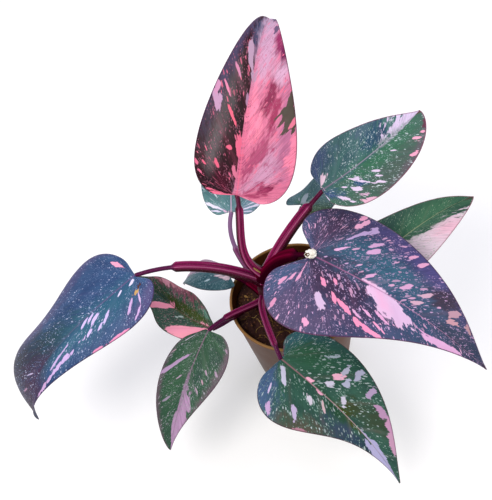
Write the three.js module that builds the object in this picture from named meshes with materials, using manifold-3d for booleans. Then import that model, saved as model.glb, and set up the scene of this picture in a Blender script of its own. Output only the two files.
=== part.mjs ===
// A pink princess philodendron in a round nursery pot: a tapered plastic pot, its potting mix, a short
// upright stem and eleven leaves. Every leaf is two solids, a sheathed petiole and a heart-shaped blade
// with a keeled midrib. Millimetres, +Z up. The origin is the centre of the pot's base, on the surface
// that the pot stands on.
import * as THREE from "three";
import { mergeVertices } from "three/addons/utils/BufferGeometryUtils.js";
import Module from "manifold-3d";

const wasm = await Module();
wasm.setup();

// ---------------------------------------------------------------- driving dimensions
const GAP = 0.3; // clearance between pieces that touch

const POT = {
  height: 100,
  rimRadius: 60,
  lipHeight: 4, // depth of the turned-out collar
  lipOut: 1.2, // how far the collar stands out of the wall
  footRadius: 46,
  wall: 1.6,
  floor: 2,
  channel: { inner: 14, outer: 37, depth: 1.5 }, // drainage channel in the underside, between two flat faces
  sides: 48,
};
const DRAIN = { count: 6, radius: 4, circle: 26, sides: 12 };
const SOIL = { level: 86, lump: 2.2, rings: 6, sides: 36 };
const STEM = { x: -24, y: 5, radius: 7.2, topRadius: 5.2, depth: 26, top: 139, sides: 12 };
// Crowding draws the rows of a blade towards its neck, where the margin turns fastest.
const BLADE = { thickness: 0.8, rows: 18, crowding: 1.25, across: 3, ribHalfWidth: 2.4, keel: 1.7 };
const PETIOLE = { tipRadius: 2.0, sides: 10, rings: 14 };

// The leaves, from the newest to the oldest. A direction is [heading, pitch] in degrees: heading turns
// from +X towards +Y, and pitch is above the horizon. A pair of plain numbers is for the [left, right]
// half of the blade.
//   foot       height at which the petiole leaves the stem
//   neck, tip  where the blade begins and ends
//   leaves, arrives   the petiole's directions at the stem and at the neck
//   runsOut, ends     the midrib's directions at the neck and at the tip
//   fold, droop       degrees that a half is lifted from the midrib, and share of its width that its
//                     edge drops
//   point, lobe       how sharp the tip is, and how far the heart's lobe reaches back, as a share of
//                     the length
//   sinus      how far each lobe closes in towards the petiole
//   ripple, waves, phase, sway   height, number and start of the margin's waves, and their share of
//                     its width
//   stalk, sheath     the petiole's radius at the stem, and the share of it that is a thick grooved sheath
const LEAVES = [
  {
    name: "leaf_top", colour: 0xa06480, foot: 139, neck: [-29, 15, 235], tip: [34, 128, 301],
    leaves: [175, 52], arrives: [80, 85], runsOut: [50, 58], ends: [80, -76],
    halfWidth: [40, 44], fold: [14, 4], droop: [0.12, 0.1], point: [2.3, 2.4], lobe: [0.06, 0.06],
    sinus: [0.3, 0.3], ripple: 1.5, waves: 3, phase: 0.5, sway: [0, 0], stalk: 4, sheath: 0.88,
  },
  {
    name: "leaf_right_front", colour: 0x706c8e, foot: 132, neck: [18, -34, 198], tip: [129, -138, 135],
    leaves: [-25, 60], arrives: [-42, 20], runsOut: [-42, -8], ends: [-44, -41],
    halfWidth: [60, 64], fold: [6, 4], droop: [0.16, 0.16], point: [1.3, 2.5], lobe: [0.2, 0.2],
    sinus: [0.62, 0.5], ripple: 2, waves: 4, phase: 0, sway: [0, 0], stalk: 6, sheath: 0.8,
  },
  {
    name: "leaf_right_upper", colour: 0x5e7f88, foot: 126, neck: [41, 18, 212], tip: [134, 47, 246],
    leaves: [18, 60], arrives: [12, 40], runsOut: [8, 20], ends: [26, 14],
    halfWidth: [38, 41], fold: [10, 10], droop: [0.1, 0.1], point: [1.2, 0.3], lobe: [0.06, 0.03],
    sinus: [0, 0], ripple: 1.2, waves: 3, phase: 1, sway: [0, 0], stalk: 5.4, sheath: 0.86,
  },
  {
    name: "leaf_left", colour: 0x596b92, foot: 124, neck: [-131, 12, 170], tip: [-250, -54, 84],
    leaves: [176, 50], arrives: [185, -2], runsOut: [199, -19], ends: [290, -74],
    halfWidth: [34, 56], fold: [2, 2], droop: [0.3, 0.3], point: [2, 0.5], lobe: [0.11, 0.04],
    sinus: [0.5, 0.3], ripple: 4, waves: 4, phase: -2.9, sway: [0.04, 0.19], stalk: 5.2, sheath: 0.74,
  },
  {
    name: "leaf_top_rear", colour: 0x6f8c90, foot: 114, neck: [-37, 48, 178], tip: [-11, 154, 205],
    leaves: [135, 52], arrives: [50, 45], runsOut: [76, 26], ends: [76, -8],
    halfWidth: [27, 33], fold: [8, 8], droop: [0.1, 0.1], point: [1.3, 1.3], lobe: [0.07, 0.08],
    sinus: [0.3, 0.3], ripple: 1.5, waves: 3, phase: 0, sway: [0, 0], stalk: 3.4, sheath: 0.6,
  },
  {
    name: "leaf_right_rear", colour: 0x86908a, foot: 110, neck: [45, -30, 146], tip: [175, 19, 153],
    leaves: [-18, 45], arrives: [0, 12], runsOut: [20, 5], ends: [13, -8],
    halfWidth: [31, 36], fold: [12, 12], droop: [0.1, 0.1], point: [1.2, 0.6], lobe: [0.1, 0.1],
    sinus: [0.3, 0.3], ripple: 1.5, waves: 3, phase: 0, sway: [0, 0], stalk: 3.6, sheath: 0.7,
  },
  {
    name: "leaf_right_upper_rear", colour: 0x5c7d82, foot: 108, neck: [26, 50, 160], tip: [88, 69, 170],
    leaves: [70, 60], arrives: [40, 40], runsOut: [18, 16], ends: [16, 4],
    halfWidth: [18, 23], fold: [6, 6], droop: [0.1, 0.1], point: [1.2, 1.2], lobe: [0.22, 0.18],
    sinus: [0, 0], ripple: 2.5, waves: 5, phase: -1, sway: [0.12, 0], stalk: 3.4, sheath: 0.7,
  },
  {
    name: "leaf_front", colour: 0x4f6d6a, foot: 102, neck: [-26, -71, 114], tip: [46, -176, 45],
    leaves: [-125, 40], arrives: [-80, -40], runsOut: [-52, -14], ends: [-66, -46],
    halfWidth: [46, 47], fold: [6, 6], droop: [0.12, 0.12], point: [1.2, 3.4], lobe: [0.12, 0.06],
    sinus: [0.55, 0.4], ripple: 2.5, waves: 4, phase: 1.3, sway: [0, 0.06], stalk: 3.8, sheath: 0.86,
  },
  {
    name: "leaf_front_left", colour: 0x5c7368, foot: 98, neck: [-82, -27, 117], tip: [-141, -100, 55],
    leaves: [214, 14], arrives: [208, -12], runsOut: [227, -20], ends: [238, -42],
    halfWidth: [30, 28], fold: [4, 4], droop: [0.1, 0.1], point: [2, 0.5], lobe: [0.05, -0.03],
    sinus: [0.3, 0.3], ripple: 0.8, waves: 3, phase: 0, sway: [0, 0], stalk: 3.6, sheath: 0.75,
  },
  {
    name: "leaf_left_inner", colour: 0x6b6d58, foot: 93, neck: [-79, -19, 106], tip: [-141, 58, 108],
    leaves: [198, 36], arrives: [186, -8], runsOut: [145, 4], ends: [130, 2],
    halfWidth: [25, 21], fold: [14, 14], droop: [0.1, 0.1], point: [1.2, 0.6], lobe: [0.1, -0.04],
    sinus: [0, 0], ripple: 2, waves: 7, phase: -2.2, sway: [0.08, 0], stalk: 3, sheath: 0.7,
  },
  {
    name: "leaf_left_rear", colour: 0x6a7f94, foot: 93, neck: [-52, 35, 105], tip: [-102, 71, 60],
    leaves: [128, 36], arrives: [140, -6], runsOut: [155, 10], ends: [158, -70],
    halfWidth: [20, 15], fold: [4, 4], droop: [0.1, 0.1], point: [1.2, -0.6], lobe: [0.14, 0.14],
    sinus: [0, 0], ripple: 2, waves: 4, phase: 0, sway: [0, 0], stalk: 3, sheath: 0.6,
  },
];

const COLOUR = { pot: 0x6b573f, soil: 0x33271c, stem: 0x3d1220, petiole: 0x6e1e3f };

// ---------------------------------------------------------------- solids and meshes

// Points and triangles as a closed geometry: points closer than near become one, and triangles that
// collapse are dropped.
function closedGeometry(points, triangles, near = 1e-3) {
  const geometry = new THREE.BufferGeometry();
  const numbers = points.flatMap((p) => [p.x, p.y, p.z]);
  geometry.setAttribute("position", new THREE.Float32BufferAttribute(numbers, 3));
  geometry.setIndex(triangles.flat());
  const merged = mergeVertices(geometry, near);
  const index = merged.index.array;
  const kept = [];
  for (let i = 0; i < index.length; i += 3) {
    const [a, b, c] = index.slice(i, i + 3);
    if (a !== b && b !== c && c !== a) kept.push(a, b, c);
  }
  merged.setIndex(kept);
  return merged;
}

// A grid of rows of points, closed round each row, with a flat cap at both ends.
function loft(rows) {
  const around = rows[0].length;
  const points = rows.flat();
  const triangles = [];
  for (let r = 0; r + 1 < rows.length; r++) {
    for (let k = 0; k < around; k++) {
      const a = r * around + k;
      const b = r * around + ((k + 1) % around);
      triangles.push([a, b, a + around], [b, b + around, a + around]);
    }
  }
  for (const [row, turned] of [[0, true], [rows.length - 1, false]]) {
    const centre = points.length;
    const sum = rows[row].reduce((total, p) => total.add(p), new THREE.Vector3());
    points.push(sum.divideScalar(around));
    for (let k = 0; k < around; k++) {
      const a = row * around + k;
      const b = row * around + ((k + 1) % around);
      triangles.push(turned ? [b, a, centre] : [a, b, centre]);
    }
  }
  return closedGeometry(points, triangles);
}

function toManifold(geometry) {
  const bare = new THREE.BufferGeometry();
  bare.setAttribute("position", geometry.getAttribute("position"));
  bare.setIndex(geometry.index);
  const merged = mergeVertices(bare, 1e-3);
  return new wasm.Manifold(
    new wasm.Mesh({
      numProp: 3,
      vertProperties: new Float32Array(merged.attributes.position.array),
      triVerts: new Uint32Array(merged.index.array),
    }),
  );
}

function toGeometry(solid) {
  const mesh = solid.getMesh();
  const geometry = new THREE.BufferGeometry();
  const positions = new Float32Array(mesh.vertProperties);
  geometry.setAttribute("position", new THREE.BufferAttribute(positions, 3));
  geometry.setIndex(new THREE.BufferAttribute(new Uint32Array(mesh.triVerts), 1));
  return geometry;
}

const largest = (solid) => solid.decompose().reduce((a, b) => (a.volume() >= b.volume() ? a : b));

function named(name, geometry, colour, roughness) {
  geometry.computeVertexNormals();
  const material = new THREE.MeshStandardMaterial({ color: colour, roughness, metalness: 0 });
  const mesh = new THREE.Mesh(geometry, material);
  mesh.name = name;
  return mesh;
}

// ---------------------------------------------------------------- curves

const radians = THREE.MathUtils.degToRad;
const vector = (xyz) => new THREE.Vector3(...xyz);
const mix = THREE.MathUtils.lerp;
const sideIndex = (half) => (half < 0 ? 0 : 1);

function direction([heading, pitch]) {
  const level = Math.cos(radians(pitch));
  return new THREE.Vector3(
    level * Math.cos(radians(heading)),
    level * Math.sin(radians(heading)),
    Math.sin(radians(pitch)),
  );
}

// A cubic curve that leaves its start and reaches its end in the given directions.
const REACH = 0.36; // length of each handle, as a share of the straight distance
function bentLine(start, leaving, end, arriving) {
  const reach = start.distanceTo(end) * REACH;
  return new THREE.CubicBezierCurve3(
    start,
    start.clone().addScaledVector(leaving, reach),
    end.clone().addScaledVector(arriving, -reach),
    end,
  );
}

// The place, tangent, sideways and upward directions at t along a curve. Before the start it runs on
// straight.
function frameAt(curve, sideways, t) {
  const inside = THREE.MathUtils.clamp(t, 0, 1);
  const place = curve.getPoint(inside);
  const along = curve.getTangent(inside);
  if (t < 0) place.addScaledVector(along, t * curve.getLength());
  const side = sideways.clone().addScaledVector(along, -sideways.dot(along)).normalize();
  const up = side.clone().cross(along);
  return { place, along, side, up };
}

// Sideways is level, to the right of the straight line from start to end.
function sidewaysOf(start, end) {
  return end.clone().sub(start).cross(new THREE.Vector3(0, 0, 1)).normalize();
}

// ---------------------------------------------------------------- pot

function potGeometry() {
  const { height, rimRadius, lipHeight, lipOut, footRadius, wall, floor, channel } = POT;
  const wallTop = rimRadius - lipOut;
  const inside = channel.depth + floor;
  const outline = [
    [0, 0],
    [channel.inner, 0],
    [channel.inner + channel.depth, channel.depth],
    [channel.outer - channel.depth, channel.depth],
    [channel.outer, 0],
    [footRadius - 1, 0],
    [footRadius, 1],
    [wallTop - 0.6, height - lipHeight - 1],
    [rimRadius - 0.6, height - lipHeight],
    [rimRadius, height - 1.2],
    [rimRadius - 0.8, height],
    [rimRadius - wall - 0.6, height],
    [rimRadius - wall - 1.2, height - 1],
    [wallTop - wall, height - lipHeight - 2],
    [footRadius - wall, inside + 0.5],
    [footRadius - wall - 1, inside],
    [0, inside],
  ];
  const body = new THREE.LatheGeometry(outline.map(([r, z]) => new THREE.Vector2(r, z)), POT.sides);
  body.rotateX(Math.PI / 2);
  let solid = toManifold(body);
  for (let i = 0; i < DRAIN.count; i++) {
    const turn = ((i + 0.5) * 2 * Math.PI) / DRAIN.count;
    const hole = new THREE.CylinderGeometry(DRAIN.radius, DRAIN.radius, 4 * inside, DRAIN.sides);
    hole.rotateX(Math.PI / 2);
    hole.translate(DRAIN.circle * Math.cos(turn), DRAIN.circle * Math.sin(turn), 0);
    solid = solid.subtract(toManifold(hole));
  }
  return toGeometry(solid);
}

// ---------------------------------------------------------------- soil

// Inner radius of the pot at a height.
function potInside(z) {
  const low = POT.channel.depth + POT.floor;
  const high = POT.height - POT.lipHeight - 2;
  const top = POT.rimRadius - POT.lipOut - POT.wall;
  return mix(POT.footRadius - POT.wall, top, THREE.MathUtils.clamp((z - low) / (high - low), 0, 1));
}

// Height of the crumbly surface above the soil level: crossed sine waves of unlike lengths.
function lumps(x, y) {
  const broad = 0.5 * Math.sin(0.31 * x + 0.17 * y);
  const across = 0.35 * Math.sin(0.53 * y - 0.29 * x + 1);
  const fine = 0.3 * Math.sin(0.71 * x + 2);
  return SOIL.lump * (broad + across + fine);
}

function soilGeometry() {
  const { level, rings, sides } = SOIL;
  const bottom = POT.channel.depth + POT.floor + GAP;
  const ring = (radius, heightAt) =>
    Array.from({ length: sides }, (_, k) => {
      const turn = (2 * Math.PI * k) / sides;
      const x = radius * Math.cos(turn);
      const y = radius * Math.sin(turn);
      return new THREE.Vector3(x, y, heightAt(x, y));
    });
  const shoulder = bottom + 3;
  const rows = [
    ring(potInside(bottom) - 2 - GAP, () => bottom),
    ring(potInside(shoulder) - 0.6 - GAP, () => shoulder),
  ];
  for (let i = 0; i < rings; i++) {
    const radius = mix(potInside(level) - 0.4 - GAP, 6, i / (rings - 1));
    rows.push(ring(radius, (x, y) => level + (i === 0 ? -1 : lumps(x, y))));
  }
  const bore = STEM.radius + GAP;
  const hole = new THREE.CylinderGeometry(bore, bore, 2 * STEM.depth, STEM.sides);
  hole.rotateX(Math.PI / 2);
  hole.translate(STEM.x, STEM.y, level);
  return toGeometry(toManifold(loft(rows)).subtract(toManifold(hole)));
}

// ---------------------------------------------------------------- stem

// The stem as rings, swollen a little at each leaf joint. Grown is how much thicker than life it is made.
function stemGeometry(grown) {
  const low = SOIL.level - STEM.depth + GAP - grown;
  const high = STEM.top + grown;
  const joints = LEAVES.map((leaf) => leaf.foot);
  const steps = 14;
  const rows = [];
  for (let i = 0; i <= steps; i++) {
    const z = mix(low, high, i / steps);
    const share = THREE.MathUtils.clamp((z - SOIL.level) / (STEM.top - SOIL.level), 0, 1);
    const joint = Math.max(...joints.map((foot) => Math.exp(-(((z - foot) / 3) ** 2))));
    const above = THREE.MathUtils.smoothstep(z, SOIL.level + 2, SOIL.level + 6);
    const radius = mix(STEM.radius, STEM.topRadius, share) * (1 + 0.12 * joint * above) + grown;
    rows.push(
      Array.from({ length: STEM.sides }, (_, k) => {
        const turn = (2 * Math.PI * k) / STEM.sides;
        const [x, y] = [STEM.x + radius * Math.cos(turn), STEM.y + radius * Math.sin(turn)];
        return new THREE.Vector3(x, y, z);
      }),
    );
  }
  return loft(rows);
}

// ---------------------------------------------------------------- leaves

function spineOf(leaf) {
  return bentLine(vector(leaf.neck), direction(leaf.runsOut), vector(leaf.tip), direction(leaf.ends));
}

const FIRST_VEIN = 0.12; // angle of the first side vein, beside the notch
const NOTCH_WIDTH = 0.2; // angle over which the notch opens into the lobe
const SINUS_WIDTH = 0.3; // angle over which the lobes close in beside the petiole
const TIP_WIDTH = 0.03; // share of the width that is kept until close to the tip, which is blunt

// The margin waves in step on both halves, a little later on the right one.
const waveAngle = (leaf, half, a) => leaf.waves * a + leaf.phase + 1.3 * sideIndex(half);

// The margin of one half at angle a, from 0 at the notch to pi at the tip, as
// [share of the length, share of the width].
function margin(leaf, half, a) {
  const side = sideIndex(half);
  const point = leaf.point[side];
  const lobe = leaf.lobe[side];
  const notch = Math.exp(-(((a - FIRST_VEIN) / NOTCH_WIDTH) ** 2));
  const along = -lobe + ((1 + lobe) * (1 - Math.cos(a))) / 2 + lobe * notch;
  const widest = 2 * Math.atan(1 / Math.sqrt(1 + point));
  const shape = (b) => Math.sin(b) * Math.cos(b / 2) ** point;
  const sway = 1 + leaf.sway[side] * Math.sin(waveAngle(leaf, half, a));
  const open = 1 - leaf.sinus[side] * Math.exp(-(((a - FIRST_VEIN) / SINUS_WIDTH) ** 2));
  const blunt = TIP_WIDTH * Math.sqrt(Math.sin(a)) * THREE.MathUtils.smoothstep(a, 1.6, 2.6);
  return [along, (sway * open * shape(a)) / shape(widest) + blunt];
}

// Where the side vein that ends at angle a starts on the midrib.
const VEIN_LEAD = 0.28;
function veinStart(leaf, half, a) {
  const [along, out] = margin(leaf, half, a);
  const start = along - VEIN_LEAD * Math.max(out, 0) ** 0.6;
  return a > Math.PI - 1e-6 ? 1 : Math.max(0, start);
}

// A point of the blade's middle surface and the upward direction there: half is -1 for the left half and
// 1 for the right, v runs from the edge of the rib at 0 to the margin at 1, and v = RIB_LINE is the
// middle of the rib.
const RIB_LINE = -1;
function bladePoint(leaf, curve, sideways, half, a, v) {
  const k = sideIndex(half);
  const length = curve.getLength();
  const width = leaf.halfWidth[k];
  const [along, out] = margin(leaf, half, a);
  const start = veinStart(leaf, half, a);
  const vein = new THREE.Vector2((along - start) * length, out * width);
  // Veins that fan out from the neck leave the rib at one point, square to it.
  const turn = start === 0 ? Math.PI / 2 : Math.min(vein.angle(), Math.PI / 2);
  const rib = Math.min(BLADE.ribHalfWidth * (1 - start) ** 0.7, 0.9 * vein.length());
  const forward = v === RIB_LINE ? rib * Math.cos(turn) : mix(rib * Math.cos(turn), vein.x, v);
  const w = v === RIB_LINE ? 0 : mix(rib * Math.sin(turn), vein.y, v);
  const { place, side, up } = frameAt(curve, sideways, start + forward / length);
  const fold = radians(leaf.fold[k]);
  const share = w / width;
  const lift =
    w * Math.sin(fold) -
    leaf.droop[k] * width * share ** 2 +
    leaf.ripple * Math.max(v, 0) ** 2 * Math.sin(waveAngle(leaf, half, a)) * Math.sin(a);
  place.addScaledVector(side, half * w * Math.cos(fold)).addScaledVector(up, lift);
  return { place, up };
}

// The blade is a thin sheet of even thickness with a keel under the midrib that thins out towards the tip.
function bladeGeometry(leaf) {
  const curve = spineOf(leaf);
  const sideways = sidewaysOf(curve.v0, curve.v3);
  const columns = [];
  for (let i = BLADE.across; i >= 0; i--) columns.push([-1, i / BLADE.across]);
  columns.push([1, RIB_LINE]);
  for (let i = 0; i <= BLADE.across; i++) columns.push([1, i / BLADE.across]);
  const middle = BLADE.across + 1;
  const wide = columns.length;
  const tall = BLADE.rows + 1;
  const top = [];
  const bottom = [];
  for (let r = 0; r < tall; r++) {
    const a = mix(FIRST_VEIN, Math.PI, (r / BLADE.rows) ** BLADE.crowding);
    columns.forEach(([half, v], c) => {
      const { place, up } = bladePoint(leaf, curve, sideways, half, a, v);
      const keel = c === middle ? BLADE.keel * (1 - r / BLADE.rows) : 0;
      top.push(place.clone().addScaledVector(up, BLADE.thickness / 2));
      bottom.push(place.clone().addScaledVector(up, -BLADE.thickness / 2 - keel));
    });
  }
  const points = [...top, ...bottom];
  const under = top.length;
  const triangles = [];
  for (let r = 0; r + 1 < tall; r++) {
    for (let c = 0; c + 1 < wide; c++) {
      const a = r * wide + c;
      const [b, d, e] = [a + 1, a + wide, a + wide + 1];
      const pair = c < middle ? [[a, b, e], [a, e, d]] : [[a, b, d], [b, e, d]];
      for (const [p, q, s] of pair) triangles.push([p, q, s], [q + under, p + under, s + under]);
    }
  }
  const wall = (a, b) => triangles.push([b, a, a + under], [b, a + under, b + under]);
  for (let c = 0; c + 1 < wide; c++) wall(c, c + 1);
  for (let r = 0; r + 1 < tall; r++) {
    wall(r * wide + wide - 1, (r + 1) * wide + wide - 1);
    wall((r + 1) * wide, r * wide);
  }
  return closedGeometry(points, triangles, 0.02);
}

// The petiole: a grooved sheath over its lower share, then a thin round stalk up to the blade's neck.
function petioleSolid(leaf, grown) {
  const blade = spineOf(leaf);
  const bladeSide = sidewaysOf(blade.v0, blade.v3);
  const neck = frameAt(blade, bladeSide, 0);
  const end = neck.place.clone().addScaledVector(neck.up, -0.8);
  const foot = new THREE.Vector3(STEM.x, STEM.y, leaf.foot);
  const curve = bentLine(foot, direction(leaf.leaves), end, direction(leaf.arrives));
  const sideways = sidewaysOf(foot, end);
  const rows = [];
  for (let r = 0; r <= PETIOLE.rings; r++) {
    const t = r / PETIOLE.rings;
    const { place, side, up } = frameAt(curve, sideways, t);
    const sheathed = 1 - THREE.MathUtils.smoothstep(t, leaf.sheath - 0.05, leaf.sheath + 0.01);
    const body = mix(PETIOLE.tipRadius, mix(leaf.stalk, leaf.stalk * 0.8, t), sheathed) + grown;
    rows.push(
      Array.from({ length: PETIOLE.sides }, (_, k) => {
        const turn = (2 * Math.PI * k) / PETIOLE.sides;
        const groove = 1 - 0.3 * sheathed * Math.max(0, Math.cos(turn)) ** 6;
        const radius = body * groove;
        return place
          .clone()
          .addScaledVector(up, radius * Math.cos(turn))
          .addScaledVector(side, radius * Math.sin(turn));
      }),
    );
  }
  // The blade's neck is a gap beyond the flat end of the stalk.
  const back = neck.along.clone().negate();
  return toManifold(loft(rows)).trimByPlane(back.toArray(), back.dot(neck.place) + GAP - grown);
}

// ---------------------------------------------------------------- assembly

const plant = new THREE.Group();
plant.add(named("pot", potGeometry(), COLOUR.pot, 0.6));
plant.add(named("soil", soilGeometry(), COLOUR.soil, 0.95));
plant.add(named("stem", stemGeometry(0), COLOUR.stem, 0.45));

// Each petiole wraps the stem and the petioles above it, a small gap away.
const taken = [toManifold(stemGeometry(GAP))];
for (const leaf of LEAVES) {
  let petiole = petioleSolid(leaf, 0);
  for (const other of taken) petiole = petiole.subtract(other);
  taken.push(petioleSolid(leaf, GAP));
  plant.add(named(leaf.name + "_petiole", toGeometry(largest(petiole)), COLOUR.petiole, 0.35));
  plant.add(named(leaf.name + "_blade", bladeGeometry(leaf), leaf.colour, 0.35));
}

export default plant;
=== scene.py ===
"""A pink princess philodendron in a nursery pot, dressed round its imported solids. Metres, +Z up."""

import math
import random

import bmesh
import bpy
import numpy as np
from mathutils import Matrix, Vector, noise


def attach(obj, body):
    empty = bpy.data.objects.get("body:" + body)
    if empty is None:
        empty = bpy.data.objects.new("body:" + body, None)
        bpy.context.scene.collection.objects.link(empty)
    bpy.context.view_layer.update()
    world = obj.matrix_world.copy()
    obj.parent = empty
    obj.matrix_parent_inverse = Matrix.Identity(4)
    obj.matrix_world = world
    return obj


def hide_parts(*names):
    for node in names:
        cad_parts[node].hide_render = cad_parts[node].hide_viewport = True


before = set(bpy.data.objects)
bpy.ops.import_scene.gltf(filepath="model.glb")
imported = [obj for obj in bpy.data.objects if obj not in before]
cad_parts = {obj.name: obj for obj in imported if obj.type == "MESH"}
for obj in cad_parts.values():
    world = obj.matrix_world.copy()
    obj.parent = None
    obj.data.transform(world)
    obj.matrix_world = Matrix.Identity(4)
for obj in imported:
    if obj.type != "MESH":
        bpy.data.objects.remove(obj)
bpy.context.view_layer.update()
MM = 0.001

# ---------------------------------------------------------------------------------- the nursery pot
# A thin pot of grey-brown polypropylene, moulded in one piece: a tapered wall with a turned-out collar,
# a flat foot with a drainage channel in it, and six drain holes in the channel.

POT_HEIGHT = 100 * MM
RIM_RADIUS = 60 * MM
FOOT_RADIUS = 46 * MM
COLLAR_HEIGHT = 4 * MM
COLLAR_OUT = 1.2 * MM
POT_WALL = 1.6 * MM
POT_FLOOR = 2 * MM
CHANNEL_DEPTH = 1.5 * MM
CHANNEL_INNER = 14 * MM
CHANNEL_OUTER = 37 * MM
CORNER_ROUNDING = 0.35 * MM
POT_SIDES = 144
DRAIN_HOLES = 6
DRAIN_RADIUS = 4 * MM
DRAIN_CIRCLE = 26 * MM
DRAIN_SIDES = 32


def mesh_piece(name, points, faces):
    """A smooth-shaded object from points and faces, riding on the plant."""
    mesh = bpy.data.meshes.new(name)
    mesh.from_pydata([tuple(p) for p in points], [], [tuple(f) for f in faces])
    mesh.shade_smooth()
    piece = bpy.data.objects.new(name, mesh)
    bpy.context.scene.collection.objects.link(piece)
    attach(piece, "root")
    return piece


def turns(count, start=0):
    """Angles spaced evenly round a full turn. Start moves them on by a share of one space."""
    return [2 * math.pi * (k + start) / count for k in range(count)]


def circle(radius, height, sides):
    return [(radius * math.cos(turn), radius * math.sin(turn), height) for turn in turns(sides)]


def bands(rings, sides, first=0):
    """The faces between rings of points, which are numbered from first on."""
    faces = []
    for r in range(rings - 1):
        for k in range(sides):
            a, b = first + r * sides + k, first + r * sides + (k + 1) % sides
            faces.append((a, b, b + sides, a + sides))
    return faces


def ringed(first, rings, last):
    """Points and faces of a closed skin that starts at one point, follows the rings and ends at another."""
    points = [first, *(point for ring in rings for point in ring), last]
    sides, end = len(rings[0]), len(points) - 1
    faces = bands(len(rings), sides, 1)
    for k in range(sides):
        after = (k + 1) % sides
        faces.append((0, 1 + after, 1 + k))
        faces.append((end, end - sides + k, end - sides + after))
    return points, faces


def rounded(outline, radius):
    """The outline with each inner corner replaced by two points a small radius away from it."""
    softer = [outline[0]]
    for before, corner, after in zip(outline, outline[1:], outline[2:]):
        here = Vector(corner)
        for other in (before, after):
            way = Vector(other) - here
            softer.append(tuple(here + way.normalized() * min(radius, way.length * 0.4)))
    return softer + [outline[-1]]


collar_foot = POT_HEIGHT - COLLAR_HEIGHT
inside_floor = CHANNEL_DEPTH + POT_FLOOR
wall_top = RIM_RADIUS - COLLAR_OUT
pot_outline = [
    (0, 0),
    (CHANNEL_INNER, 0),
    (CHANNEL_INNER + CHANNEL_DEPTH, CHANNEL_DEPTH),
    (CHANNEL_OUTER - CHANNEL_DEPTH, CHANNEL_DEPTH),
    (CHANNEL_OUTER, 0),
    (FOOT_RADIUS - 1 * MM, 0),
    (FOOT_RADIUS, 1 * MM),
    (wall_top - 0.6 * MM, collar_foot - 1 * MM),
    (RIM_RADIUS - 0.6 * MM, collar_foot),
    (RIM_RADIUS, POT_HEIGHT - 1.2 * MM),
    (RIM_RADIUS - 0.8 * MM, POT_HEIGHT),
    (RIM_RADIUS - POT_WALL - 0.6 * MM, POT_HEIGHT),
    (RIM_RADIUS - POT_WALL - 1.2 * MM, POT_HEIGHT - 1 * MM),
    (wall_top - POT_WALL, collar_foot - 2 * MM),
    (FOOT_RADIUS - POT_WALL, inside_floor + 0.5 * MM),
    (FOOT_RADIUS - POT_WALL - 1 * MM, inside_floor),
    (0, inside_floor),
]
pot_corners = rounded(pot_outline, CORNER_ROUNDING)[1:-1]
pot_rings = [circle(radius, height, POT_SIDES) for radius, height in pot_corners]
pot = mesh_piece("nursery_pot", *ringed((0, 0, 0), pot_rings, (0, 0, inside_floor)))
for turn in turns(DRAIN_HOLES, 0.5):
    hole_place = (DRAIN_CIRCLE * math.cos(turn), DRAIN_CIRCLE * math.sin(turn), 0)
    bpy.ops.mesh.primitive_cylinder_add(
        vertices=DRAIN_SIDES, radius=DRAIN_RADIUS, depth=4 * inside_floor, location=hole_place
    )
    drill = bpy.context.active_object
    bore = pot.modifiers.new("drain", "BOOLEAN")
    bore.operation = "DIFFERENCE"
    bore.solver = "EXACT"
    bore.object = drill
    bpy.context.view_layer.objects.active = pot
    bpy.ops.object.modifier_apply(modifier=bore.name)
    bpy.data.objects.remove(drill)


def fill(tree, made, inputs):
    """Joins each input of a node, by name or number, to another node's output, or gives it a value."""
    for key, value in inputs.items():
        if isinstance(value, bpy.types.NodeSocket):
            tree.links.new(value, made.inputs[key])
        else:
            made.inputs[key].default_value = value
    return made


def node(tree, kind, inputs=None, **settings):
    """A new shader node with its settings and its inputs."""
    made = tree.nodes.new("ShaderNode" + kind)
    for key, value in settings.items():
        setattr(made, key, value)
    return fill(tree, made, inputs or {})


def calc(tree, operation, *values):
    return node(tree, "Math", dict(enumerate(values)), operation=operation).outputs[0]


def vector_calc(tree, operation, *values):
    return node(tree, "VectorMath", dict(enumerate(values)), operation=operation).outputs[0]


def weighed(tree, first, weight, second, second_weight):
    """The sum of two values, each times its weight."""
    return calc(tree, "MULTIPLY_ADD", first, weight, calc(tree, "MULTIPLY", second, second_weight))


def split(tree, vector):
    return node(tree, "SeparateXYZ", {0: vector}).outputs


def ramp(tree, value, low, high):
    """0 at low and 1 at high, with a smooth turn at both."""
    values = {"Value": value, "From Min": low, "From Max": high}
    return node(tree, "MapRange", values, interpolation_type="SMOOTHSTEP").outputs["Result"]


def grain_of(tree, vector, scale, detail=3, roughness=0.55):
    """Cloudy noise. A scale of three numbers draws it out along the axis of the smallest."""
    if isinstance(scale, tuple):
        vector = vector_calc(tree, "MULTIPLY", vector, scale)
        scale = 1
    values = {"Vector": vector, "Scale": scale, "Detail": detail, "Roughness": roughness}
    return node(tree, "TexNoise", values).outputs["Fac"]


def colour(hexadecimal):
    """A linear colour from a six-digit display colour."""
    parts = [int(hexadecimal[i : i + 2], 16) / 255 for i in (0, 2, 4)]
    linear = [p / 12.92 if p <= 0.04045 else ((p + 0.055) / 1.055) ** 2.4 for p in parts]
    return (*linear, 1.0)


def over(tree, base, shade, share, strength=1):
    """A shade laid over a base by a share from 0 to 1, times a strength."""
    if strength != 1:
        share = calc(tree, "MULTIPLY", share, strength)
    first, second = [colour(c) if isinstance(c, str) else c for c in (base, shade)]
    return node(tree, "Mix", {0: share, 6: first, 7: second}, data_type="RGBA").outputs[2]


def new_material(name):
    """An empty material and its tree."""
    material = bpy.data.materials.new(name)
    material.use_nodes = True
    return material, material.node_tree


def own_place(tree):
    return node(tree, "TexCoord").outputs["Object"]


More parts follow.
